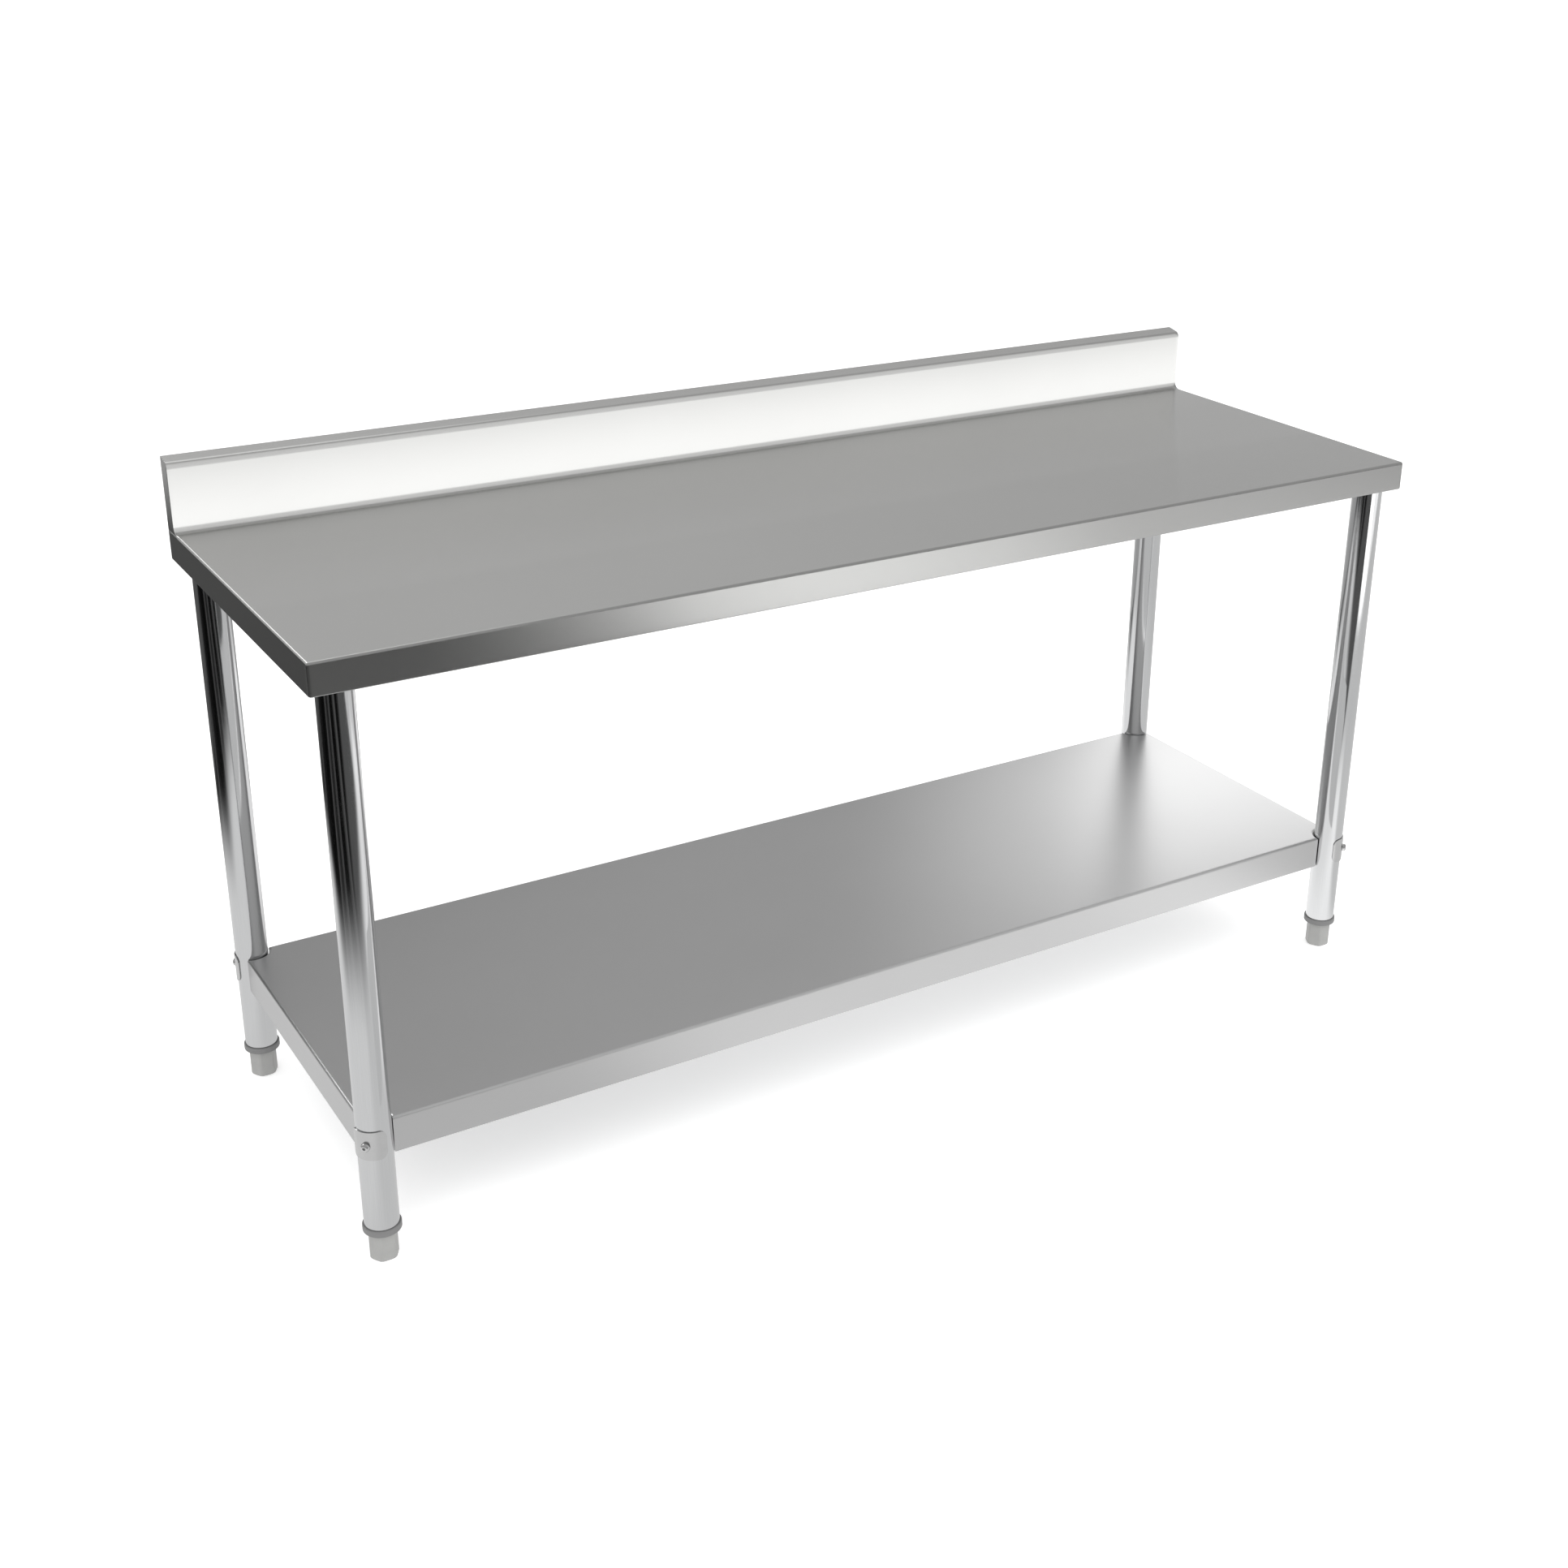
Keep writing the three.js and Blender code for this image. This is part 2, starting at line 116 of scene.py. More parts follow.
# ---- Mesh tools ------------------------------------------------------------------

def mesh_object(name, verts, faces, smooth=40):
    """A mesh object with doubles merged, outward normals, and smooth shading below an angle."""
    mesh = bpy.data.meshes.new(name)
    mesh.from_pydata([tuple(v) for v in verts], [], faces)
    bm = bmesh.new()
    bm.from_mesh(mesh)
    bmesh.ops.remove_doubles(bm, verts=bm.verts, dist=MERGE)
    bmesh.ops.dissolve_degenerate(bm, dist=SHORTEST_EDGE, edges=bm.edges)
    bmesh.ops.recalc_face_normals(bm, faces=bm.faces)
    bm.to_mesh(mesh)
    bm.free()
    mesh.polygons.foreach_set("use_smooth", [True] * len(mesh.polygons))
    mesh.set_sharp_from_angle(angle=math.radians(smooth))
    obj = bpy.data.objects.new(name, mesh)
    bpy.context.scene.collection.objects.link(obj)
    return obj


def add_piece(obj, material, body, slot, *nodes):
    """Gives a finished mesh its material and body, and hides the CAD nodes it stands for; `slot` is not used.
    """
    obj.data.materials.append(material)
    if nodes:
        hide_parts(*nodes)
    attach(obj, body)


def face_towards(obj, direction):
    """Turns an open surface's normals to the side of `direction`."""
    if obj.data.polygons[0].normal.dot(Vector(direction)) < 0:
        obj.data.flip_normals()


def polar(radius, angle, height=0.0):
    return Vector((radius * math.cos(angle), radius * math.sin(angle), height))


def grid(rows, closed=False):
    """Quads between rows of points; `closed` joins each row's end to its start."""
    verts, faces = [], []
    width = len(rows[0])
    for row in rows:
        verts.extend(row)
    for r in range(len(rows) - 1):
        for c in range(width if closed else width - 1):
            d = (c + 1) % width
            faces.append((r * width + c, r * width + d, (r + 1) * width + d, (r + 1) * width + c))
    return verts, faces


def joined(*parts):
    """Several (verts, faces) lists as one."""
    verts, faces = [], []
    for some_verts, some_faces in parts:
        start = len(verts)
        verts.extend(some_verts)
        faces.extend(tuple(i + start for i in face) for face in some_faces)
    return verts, faces


def loft(rings, cap_first=True, cap_last=True):
    """A closed surface through rings that have the same number of points."""
    verts, faces = grid(rings, closed=True)
    count = len(rings[0])
    if cap_first:
        faces.append(tuple(range(count)))
    if cap_last:
        start = count * (len(rings) - 1)
        faces.append(tuple(range(start, start + count)))
    return verts, faces


def arc(start, end, steps):
    """Angles from start to end degrees, in radians."""
    return [math.radians(start + (end - start) * i / steps) for i in range(steps + 1)]


def spaced(low, high, steps):
    return [low + (high - low) * i / steps for i in range(steps + 1)]


def solidify(obj, thickness):
    mod = obj.modifiers.new("thickness", "SOLIDIFY")
    mod.thickness = thickness
    mod.offset = -1
    mod.use_even_offset = False
    mod.use_quality_normals = True


def bevel(obj, width, segments=2, angle=35):
    mod = obj.modifiers.new("edges", "BEVEL")
    mod.width = width
    mod.segments = segments
    mod.limit_method = "ANGLE"
    mod.angle_limit = math.radians(angle)
    mod.harden_normals = True
    mod.use_clamp_overlap = True


def weighted(obj):
    mod = obj.modifiers.new("normals", "WEIGHTED_NORMAL")
    mod.keep_sharp = True
    mod.weight = 90


def revolved(profile, sides, at):
    """A closed profile of (radius, height) turned about the vertical at a point."""
    verts, faces = [], []
    count = len(profile)
    for i in range(sides):
        verts.extend(at + polar(r, 2 * math.pi * i / sides, z) for r, z in profile)
    for i in range(sides):
        j = (i + 1) % sides
        for p in range(count):
            q = (p + 1) % count
            faces.append((i * count + p, j * count + p, j * count + q, i * count + q))
    return verts, faces


def rounded_profile(corners, steps=4):
    """Corners (u, v, radius) of a closed outline as points, each radius drawn as an arc."""
    points = []
    for i, (u, v, radius) in enumerate(corners):
        here = Vector((u, v))
        if radius == 0:
            points.append(here)
            continue
        back = (Vector(corners[i - 1][:2]) - here).normalized()
        ahead = (Vector(corners[(i + 1) % len(corners)][:2]) - here).normalized()
        half = math.acos(max(-1, min(1, back.dot(ahead)))) / 2
        middle = here + (back + ahead).normalized() * radius / math.sin(half)
        start = here + back * radius / math.tan(half) - middle
        turn = (math.pi - 2 * half) * (1 if ahead.x * back.y - ahead.y * back.x > 0 else -1)
        for s in range(steps + 1):
            c, n = math.cos(turn * s / steps), math.sin(turn * s / steps)
            points.append(middle + Vector((start.x * c - start.y * n, start.x * n + start.y * c)))
    return points


# ---- Node tools ------------------------------------------------------------------

class Nodes:
    """Short calls for building a material's node tree."""

    def __init__(self, tree):
        self.tree = tree

    def new(self, kind, inputs=None, **settings):
        node = self.tree.nodes.new(kind)
        for key, value in settings.items():
            setattr(node, key, value)
        for key, value in (inputs or {}).items():
            if hasattr(value, "is_linked"):
                self.tree.links.new(value, node.inputs[key])
            else:
                node.inputs[key].default_value = value
        return node

    def math(self, operation, a, b=0.0):
        return self.new("ShaderNodeMath", {0: a, 1: b}, operation=operation).outputs[0]

    def ramp(self, value, low, high, to_low=0.0, to_high=1.0):
        """`to_low` where the value is under `low`, `to_high` over `high`, eased in between."""
        return self.new("ShaderNodeMapRange", {
            "Value": value, "From Min": low, "From Max": high, "To Min": to_low, "To Max": to_high,
        }, interpolation_type="SMOOTHSTEP").outputs[0]

    def steps(self, value, rows):
        """Sum of ramps, one for each row of (low, high, to_low, to_high)."""
        total = self.ramp(value, *rows[0])
        for row in rows[1:]:
            total = self.math("ADD", total, self.ramp(value, *row))
        return total

    def scaled(self, vector, scale):
        return self.new("ShaderNodeMapping", {"Vector": vector, "Scale": scale}).outputs[0]

    def noise(self, vector, scale, detail=2.0, rough=0.5):
        return self.new("ShaderNodeTexNoise", {
            "Vector": vector, "Scale": scale, "Detail": detail, "Roughness": rough,
        }).outputs[0]

    def mixed(self, factor, a, b):
        return self.new("ShaderNodeMix", {0: factor, 2: a, 3: b}, data_type="FLOAT").outputs[0]

    def tint(self, factor, dark, light):
        inputs = {0: factor, 6: (*dark, 1), 7: (*light, 1)}
        return self.new("ShaderNodeMix", inputs, data_type="RGBA").outputs[2]

    def bump(self, height, strength, distance, normal=None):
        inputs = {"Height": height, "Strength": strength, "Distance": distance}
        if normal is not None:
            inputs["Normal"] = normal
        return self.new("ShaderNodeBump", inputs).outputs[0]


def material(name):
    """A new material with its node helper, its shader and the object's own coordinates."""
    mat = bpy.data.materials.new(name)
    mat.use_nodes = True
    nodes = Nodes(mat.node_tree)
    shader = mat.node_tree.nodes["Principled BSDF"]
    place = nodes.new("ShaderNodeTexCoord").outputs["Object"]
    return mat, nodes, shader, place


def connect(nodes, shader, **sockets):
    """Links values to the shader's inputs, with underscores for the spaces in their names."""
    for name, value in sockets.items():
        nodes.tree.links.new(value, shader.inputs[name.replace("_", " ")])


ALONG_SHEET = (2.0, 60.0, 60.0)     # draws a noise out into lines along the sheet
MARKS_SHAPE = (3.0, 8.0, 8.0)
ALONG_TUBE = (90.0, 90.0, 1.2)
DULL_SHAPE = (10.0, 10.0, 3.0)
SCRATCH_SHAPE = (60.0, 60.0, 220.0)


def sheet_steel(name, dark, light, rough, brushed):
    """Satin sheet brushed along its length: fine grain, handling marks and gentle waves."""
    mat, n, shader, place = material(name)
    grain = n.noise(n.scaled(place, ALONG_SHEET), scale=40.0, detail=4.0, rough=0.65)
    fine = n.noise(place, scale=900.0, detail=2.0, rough=0.6)
    cloud = n.noise(place, scale=3.2, detail=3.0, rough=0.55)
    marks = n.ramp(n.noise(n.scaled(place, MARKS_SHAPE), scale=9.0, detail=4.0, rough=0.7), 0.55, 0.75)
    tone = n.math("ADD", n.math("MULTIPLY", grain, 0.5), n.math("MULTIPLY", cloud, 0.5))
    colour = n.tint(tone, dark, light)
    roughness = n.math("ADD", rough - 0.06, n.math("MULTIPLY", grain, 0.07))
    roughness = n.math("ADD", roughness, n.math("MULTIPLY", marks, 0.008))
    waviness = n.bump(n.noise(place, scale=2.2, detail=1.0, rough=0.4), strength=0.15, distance=4 * MM)
    relief = n.math("ADD", grain, n.math("MULTIPLY", fine, 0.6))
    normal = n.bump(relief, strength=0.12, distance=0.06 * MM, normal=waviness)
    # Reflections spread across the grain, which follows the sheet round its bends.
    facing = n.new("ShaderNodeNewGeometry").outputs["Normal"]
    across = n.new("ShaderNodeVectorMath", {0: facing, 1: (1, 0, 0)}, operation="CROSS_PRODUCT").outputs[0]
    across = n.new("ShaderNodeVectorMath", {0: across, 1: (0, 0.02, 0)}, operation="ADD").outputs[0]
    across = n.new("ShaderNodeVectorMath", {0: across}, operation="NORMALIZE").outputs[0]
    connect(n, shader, Base_Color=colour, Roughness=roughness, Normal=normal, Tangent=across)
    shader.inputs["Metallic"].default_value = 1.0
    shader.inputs["Anisotropic"].default_value = brushed
    return mat


def tube_steel():
    """Mirror-polished tube: faint lines along its length and a few dull handling marks."""
    mat, n, shader, place = material("polished_tube")
    lines = n.noise(n.scaled(place, ALONG_TUBE), scale=14.0, detail=3.0, rough=0.6)
    dull = n.ramp(n.noise(n.scaled(place, DULL_SHAPE), scale=6.0, detail=4.0, rough=0.65), 0.5, 0.8)
    colour = n.tint(lines, (0.66, 0.665, 0.67), (0.74, 0.745, 0.75))
    roughness = n.math("ADD", 0.075, n.math("MULTIPLY", lines, 0.05))
    roughness = n.math("ADD", roughness, n.math("MULTIPLY", dull, 0.05))
    normal = n.bump(lines, strength=0.08, distance=0.1 * MM)
    connect(n, shader, Base_Color=colour, Roughness=roughness, Normal=normal)
    shader.inputs["Metallic"].default_value = 1.0
    return mat


def plated_steel(name, dark, light, rough, cell=0.0):
    """Zinc-coated steel; `cell` sets the size of the crystal pattern of hot-dipped zinc."""
    mat, n, shader, place = material(name)
    cloud = n.noise(place, scale=26.0, detail=4.0, rough=0.6)
    fine = n.noise(place, scale=700.0, detail=3.0, rough=0.6)
    tone = cloud
    if cell:
        crystals = n.new("ShaderNodeTexVoronoi", {"Vector": place, "Scale": 1 / cell}).outputs["Color"]
        crystal = n.new("ShaderNodeSeparateColor", {0: crystals}).outputs[0]
        tone = n.math("ADD", n.math("MULTIPLY", cloud, 0.4), n.math("MULTIPLY", crystal, 0.6))
    colour = n.tint(tone, dark, light)
    roughness = n.math("ADD", rough - 0.08, n.math("MULTIPLY", tone, 0.16))
    normal = n.bump(fine, strength=0.15, distance=0.1 * MM)
    connect(n, shader, Base_Color=colour, Roughness=roughness, Normal=normal)
    shader.inputs["Metallic"].default_value = 1.0
    return mat


def moulded_plastic(name, dark, light, rough, scuff_low, scuff_high):
    """Moulded plastic: fine spark-eroded texture, and paler scuffs towards the floor."""
    mat, n, shader, place = material(name)
    fine = n.noise(place, scale=1400.0, detail=3.0, rough=0.6)
    cloud = n.noise(place, scale=45.0, detail=4.0, rough=0.6)
    height = n.new("ShaderNodeSeparateXYZ", {0: place}).outputs[2]
    low_down = n.ramp(height, scuff_low, scuff_high, 1.0, 0.0)
    scratches = n.ramp(n.noise(n.scaled(place, SCRATCH_SHAPE), scale=5.0, detail=4.0, rough=0.7), 0.52, 0.7)
    scuffs = n.math("MULTIPLY", scratches, low_down)
    base = n.tint(cloud, dark, light)
    worn = tuple(min(1, c * 1.25) for c in light)
    colour = n.new("ShaderNodeMix", {0: scuffs, 6: base, 7: (*worn, 1)}, data_type="RGBA").outputs[2]
    roughness = n.math("ADD", rough, n.math("MULTIPLY", scuffs, 0.2))
    normal = n.bump(fine, strength=0.25, distance=0.08 * MM)
    connect(n, shader, Base_Color=colour, Roughness=roughness, Normal=normal)
    return mat


worktop_steel = sheet_steel("worktop_satin", (0.56, 0.56, 0.55), (0.63, 0.63, 0.62), 0.24, 0.92)
shelf_steel = sheet_steel("shelf_satin", (0.60, 0.60, 0.60), (0.68, 0.68, 0.68), 0.36, 0.1)
leg_steel = tube_steel()
galvanised = plated_steel("galvanised", (0.42, 0.44, 0.46), (0.62, 0.64, 0.66), 0.42, cell=0.012)
zinc = plated_steel("zinc_plate", (0.50, 0.51, 0.53), (0.64, 0.65, 0.67), 0.34)
bright_steel = plated_steel("bright_steel", (0.58, 0.58, 0.58), (0.71, 0.71, 0.71), 0.22)
bolt_steel = plated_steel("bolt_steel", (0.62, 0.62, 0.62), (0.76, 0.76, 0.76), 0.10)
plug_plastic = moulded_plastic("plug_plastic", (0.15, 0.15, 0.15), (0.19, 0.19, 0.19), 0.45, 0.030, 0.040)
foot_plastic = moulded_plastic("foot_plastic", (0.28, 0.28, 0.275), (0.35, 0.35, 0.34), 0.42, 0.000, 0.012)


# ---- Worktop sheet ---------------------------------------------------------------

SPLASH_FRONT = HALF_D - SPLASH_THICK
COVE_START = SPLASH_FRONT - SPLASH_COVE
SPLASH_SLOPE = SPLASH_RISE / SPLASH_THICK
SPLASH_EDGE = WORKTOP + SPLASH_HEIGHT       # where the front and the sloping top would meet
LENGTH_STEPS = 24
DEPTH_STEPS = 8
BEND_STEPS = 6
PROFILE_STEPS = 8
GROUND = 4 * MM                 # length over which the side bend is ground down
CLEAR_OF_COVE = 30 * MM
CLEAR_OF_SPLASH = 50 * MM
BACK_ROW = 20 * MM              # height of a row of faces on the back, above the worktop
COVE_ROWS = 3                   # rows over which the upstand's front widens to its ends


def side_bend(y):
    """Radius of the side bend: constant, then ground down just in front of the upstand."""
    ground = max(0.0, min(1.0, (y - (COVE_START - GROUND)) / GROUND))
    return BEND + (WELDED_BEND - BEND) * ground


def length_samples():
    inner = HALF_W - BEND - SUPPORT
    return spaced(-inner, inner, LENGTH_STEPS)


def depth_samples():
    """From the cove forward to the front bend's support row."""
    front = -HALF_D + BEND + SUPPORT
    rear = [COVE_START, COVE_START - GROUND, COVE_START - 2 * GROUND]
    return rear + spaced(COVE_START - CLEAR_OF_COVE, front, DEPTH_STEPS)


def u_path():
    """(place, outward direction, side bend radius) round the left, front and right of the plan."""
    path = []
    corner_x, corner_y = HALF_W - BEND, -HALF_D + BEND
    for y in depth_samples():
        path.append((Vector((-HALF_W, y)), Vector((-1, 0)), side_bend(y)))
    for a in arc(180, 270, BEND_STEPS):
        out = Vector((math.cos(a), math.sin(a)))
        path.append((Vector((-corner_x, corner_y)) + out * BEND, out, BEND))
    for x in length_samples():
        path.append((Vector((x, -HALF_D)), Vector((0, -1)), BEND))
    for a in arc(270, 360, BEND_STEPS):
        out = Vector((math.cos(a), math.sin(a)))
        path.append((Vector((corner_x, corner_y)) + out * BEND, out, BEND))
    for y in reversed(depth_samples()):
        path.append((Vector((HALF_W, y)), Vector((1, 0)), side_bend(y)))
    return path


def splash_section():
    """(y, z) points of the upstand from the cove, over the top and down the back."""
    corners = rounded_profile([
        (SPLASH_FRONT - CLEAR_OF_SPLASH, WORKTOP, 0),
        (SPLASH_FRONT, WORKTOP, SPLASH_COVE),
        (SPLASH_FRONT, SPLASH_EDGE, SPLASH_FRONT_BEND),
        (HALF_D, SPLASH_EDGE + SPLASH_RISE, SPLASH_REAR_BEND),
        (HALF_D, APRON_BOTTOM, 0),
    ], steps=PROFILE_STEPS)
    return corners[1:-1]


def hem_turn():
    """(inset, height) points of the bend from the hem up into the apron."""
    return [(HEM_BEND * (1 - math.sin(a)), HEM_BEND * (1 - math.cos(a))) for a in arc(0, 90, HEM_STEPS)]


def worktop_sheet():
    lip = WORKTOP - SHEET           # height of the side sheet under the end caps
    straight = WORKTOP - BEND       # where the bends of the aprons start
    path = u_path()
    behind = [HALF_D, (HALF_D + COVE_START) / 2]
    rear_x = [-HALF_W] + length_samples() + [HALF_W]
    left_rear = [(Vector((-HALF_W, y)), Vector((-1, 0))) for y in behind]
    right_rear = [(Vector((HALF_W, y)), Vector((1, 0))) for y in reversed(behind)]
    rear = [(Vector((x, HALF_D)), Vector((0, 1))) for x in reversed(length_samples())]

    # Aprons on all four sides, with the hem folded in along the bottom.
    belt = left_rear + [(p, out) for p, out, _ in path] + right_rear + rear
    levels = [(HEM, 0.0)] + hem_turn() + [(0.0, HEM_RISE), (0.0, straight - APRON_BOTTOM)]

    def inset_point(p, out, inset, height):
        x, y = p - out * inset
        y = min(y, HALF_D - inset)
        x = max(-HALF_W + inset, min(HALF_W - inset, x))
        return Vector((x, y, APRON_BOTTOM + height))

    aprons = grid([[inset_point(p, out, d, h) for p, out in belt] for d, h in levels], closed=True)

    # Bend from the aprons into the top on three sides.
    bends = []
    for i in range(BEND_STEPS + 3):
        row = []
        for p, out, radius in path:
            if i == 0:
                inset, z = 0.0, straight
            elif i == 1:
                inset, z = 0.0, min(lip, WORKTOP - radius)
            else:
                a = math.radians(90) * (i - 2) / BEND_STEPS
                inset, z = radius * (1 - math.cos(a)), WORKTOP - radius * (1 - math.sin(a))
            q = p - out * inset
            row.append(Vector((q.x, q.y, z)))
        bends.append(row)
    bent = grid(bends)

    # Flat top, in rows from the cove to the front.
    rows = []
    for y in depth_samples() + [-HALF_D + BEND]:
        edge = HALF_W - side_bend(y)
        rows.append([Vector((x, y, WORKTOP)) for x in [-edge] + length_samples() + [edge]])
    top = grid(rows)

    # Upstand: cove, front, rounded top and back, down to the rear apron.
    strip = []
    section = splash_section()
    for k, (y, z) in enumerate(section):
        edge = HALF_W - WELDED_BEND * max(0.0, 1 - k / COVE_ROWS)
        strip.append([Vector((x, y, z)) for x in [-edge] + length_samples() + [edge]])
    for z in (WORKTOP + BACK_ROW, lip, straight):
        strip.append([Vector((x, HALF_D, z)) for x in rear_x])
    upstand = grid(strip)

    # Narrow side strips that carry the end caps.
    sides = []
    for side in (-1, 1):
        ys = [COVE_START] + list(reversed(behind))
        lips = [min(lip, WORKTOP - WELDED_BEND)] + [lip] * len(behind)
        sides.append(grid([
            [Vector((side * HALF_W, y, straight)) for y in ys],
            [Vector((side * HALF_W, y, z)) for y, z in zip(ys, lips)],
        ]))

    obj = mesh_object("worktop_sheet", *joined(aprons, bent, top, upstand, *sides), smooth=50)
    solidify(obj, SHEET)
    weighted(obj)
    add_piece(obj, worktop_steel, "table", "worktop_sheet", "worktop_skin")


CAP_GAP = 0.1 * MM
CAP_EDGE = 0.25 * MM


def splash_end(side, name):
    """Welded plate that closes one end of the upstand."""
    inset = SHEET + CAP_GAP
    bottom = WORKTOP - SHEET + CAP_GAP
    drop = inset * math.hypot(1, SPLASH_SLOPE)
    cove_z = WORKTOP + SPLASH_COVE
    radius = SPLASH_COVE + inset
    lowest = math.degrees(-math.asin((cove_z - bottom) / radius))
    corners = rounded_profile([
        (SPLASH_FRONT + inset, SPLASH_EDGE + inset * SPLASH_SLOPE - drop, SPLASH_FRONT_BEND - inset),
        (HALF_D - inset, SPLASH_EDGE + SPLASH_RISE - inset * SPLASH_SLOPE - drop, SPLASH_REAR_BEND - inset),
        (HALF_D - inset, bottom, 0),
    ], steps=PROFILE_STEPS)
    cove = [Vector((COVE_START + radius * math.cos(a), cove_z + radius * math.sin(a)))
            for a in arc(lowest, 0, PROFILE_STEPS)]
    outline = corners + cove
    outer, inner = side * HALF_W, side * (HALF_W - SHEET)
    rings = [[Vector((x, p.x, p.y)) for p in outline] for x in (outer, inner)]
    obj = mesh_object(f"splash_end_{name}", *loft(rings), smooth=35)
    bevel(obj, CAP_EDGE)
    add_piece(obj, worktop_steel, "table", "worktop_sheet", f"splash_end_cap_{name}")


# ---- Undershelf ------------------------------------------------------------------

NOTCH_STEPS = 14


def tray_plan(inset):
    """Plan of the tray moved inward: a rectangle notched round the four legs."""
    half_x, half_y = tray_high.x - inset, tray_high.y - inset
    radius = NOTCH + inset
    leg = centre("leg_front_right")
    points = []
    for sx, sy in ((1, -1), (1, 1), (-1, 1), (-1, -1)):
        on_side = -math.acos((half_x - leg.x) / radius)
        on_front = -math.pi - math.asin((half_y + leg.y) / radius)
        angles = spaced(on_side, on_front, NOTCH_STEPS)
        if sx * sy < 0:
            angles.reverse()
        points += [Vector((sx * (leg.x + radius * math.cos(a)), sy * (-leg.y + radius * math.sin(a))))
                   for a in angles]
    return points


def shelf_tray():
    """Sheet of the undershelf: hem, apron, bend and flat top, notched round the legs."""
    depth = SHELF_TOP - SHELF_BOTTOM
    levels = [(TRAY_HEM, 0.0)] + hem_turn() + [(0.0, HEM_RISE), (0.0, depth - BEND - SUPPORT)]
    levels += [(BEND * (1 - math.cos(a)), depth - BEND * (1 - math.sin(a))) for a in arc(0, 90, BEND_STEPS)]
    levels += [(BEND + SUPPORT, depth)]
    rings = [[Vector((p.x, p.y, SHELF_BOTTOM + z)) for p in tray_plan(inset)] for inset, z in levels]
    obj = mesh_object("shelf_sheet", *loft(rings, cap_first=False), smooth=50)
    solidify(obj, SHEET)
    weighted(obj)
    add_piece(obj, shelf_steel, "table", "shelf_sheet", "shelf_tray")


# ---- Legs and shelf fixings --------------------------------------------------------

TUBE_SIDES = 96
TUBE_EDGE = 0.4 * MM


def leg_tube(corner):
    low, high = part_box(f"leg_{corner}")
    radius = tube_radius(corner)
    at = Vector(((low.x + high.x) / 2, (low.y + high.y) / 2, 0))
    inner = radius - SHEET
    profile = rounded_profile([
        (inner, low.z, TUBE_EDGE), (radius, low.z, TUBE_EDGE),
        (radius, high.z, TUBE_EDGE), (inner, high.z, TUBE_EDGE),
    ], steps=2)
    obj = mesh_object(f"tube_{corner}", *revolved(profile, TUBE_SIDES, at))
    weighted(obj)
    add_piece(obj, leg_steel, "table", "leg_tube", f"leg_{corner}")


CLIP_SHEET = 1.6 * MM
CLIP_HALF_ANGLE = 66
CLIP_CORNER = 11 * MM       # height of the rounded corners
CLIP_CORNER_ANGLE = 24      # and their width, as an angle round the leg
CLIP_EDGE = 0.5 * MM
CLIP_STEPS = 24


def shelf_clip(corner, sx, sy):
    """Curved clamp plate with rounded corners, bent round the outside of the leg."""
    low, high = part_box(f"shelf_clip_{corner}")
    radius = tube_radius(corner) + GAP + CLIP_SHEET
    middle, half = (low.z + high.z) / 2, (high.z - low.z) / 2
    heading = math.atan2(sy, sx)
    rows = []
    heights = [half - CLIP_CORNER * (1 - math.sin(a)) for a in arc(0, 90, PROFILE_STEPS)]
    heights = [-h for h in reversed(heights)] + heights
    for h in heights:
        over = max(0.0, (abs(h) - (half - CLIP_CORNER)) / CLIP_CORNER)
        reach = CLIP_HALF_ANGLE - CLIP_CORNER_ANGLE * (1 - math.sqrt(max(0.0, 1 - over * over)))
        rows.append([leg_axis(corner) + polar(radius, heading + a, middle + h)
                     for a in arc(-reach, reach, CLIP_STEPS)])
    obj = mesh_object(f"clip_{corner}", *grid(rows))
    face_towards(obj, outward(sx, sy))
    solidify(obj, CLIP_SHEET)
    bevel(obj, CLIP_EDGE, 3)
    weighted(obj)
    add_piece(obj, bright_steel, "table", "clip", f"shelf_clip_{corner}")


def hexagon_ring(flats, count, height, corner=0.0):
    """Points round a hexagon with rounded corners, `count` of them evenly by angle."""
    points = []
    for i in range(count):
        a = 2 * math.pi * i / count
        within = (a + math.pi / 6) % (math.pi / 3) - math.pi / 6
        reach = (flats / 2) / math.cos(math.pi / 6 - abs(within))
        reach = min(reach, flats / math.sqrt(3) - corner)
        points.append(polar(reach, a, height))
    return points


def circle_ring(radius, count, height):
    return [polar(radius, 2 * math.pi * i / count, height) for i in range(count)]


def circles(count, *levels):
    """A ring for each (radius, height)."""
    return [circle_ring(radius, count, height) for radius, height in levels]


def threaded_rings(radius, depth, pitch, low, high, count, steps=4):
    """Rings of a right-hand screw thread between two heights."""
    rings = []
    rows = max(2, round((high - low) / pitch * steps))
    for r in range(rows + 1):
        z = low + (high - low) * r / rows
        fade = min(1.0, r / steps, (rows - r) / steps)
        ring = []
        for i in range(count):
            turn = z / pitch - i / count
            wave = abs(2 * (turn - math.floor(turn)) - 1)
            reach = radius - depth * (wave * fade + (1 - fade))
            ring.append(polar(reach, 2 * math.pi * i / count, z))
        rings.append(ring)
    return rings


def placed(verts_faces, at, direction=None):
    """A mesh built round the origin, put at a point with its Z axis along `direction`."""
    verts, faces = verts_faces
    turn = Matrix.Identity(3) if direction is None else direction.to_track_quat("Z", "Y").to_matrix()
    return [at + turn @ v for v in verts], faces


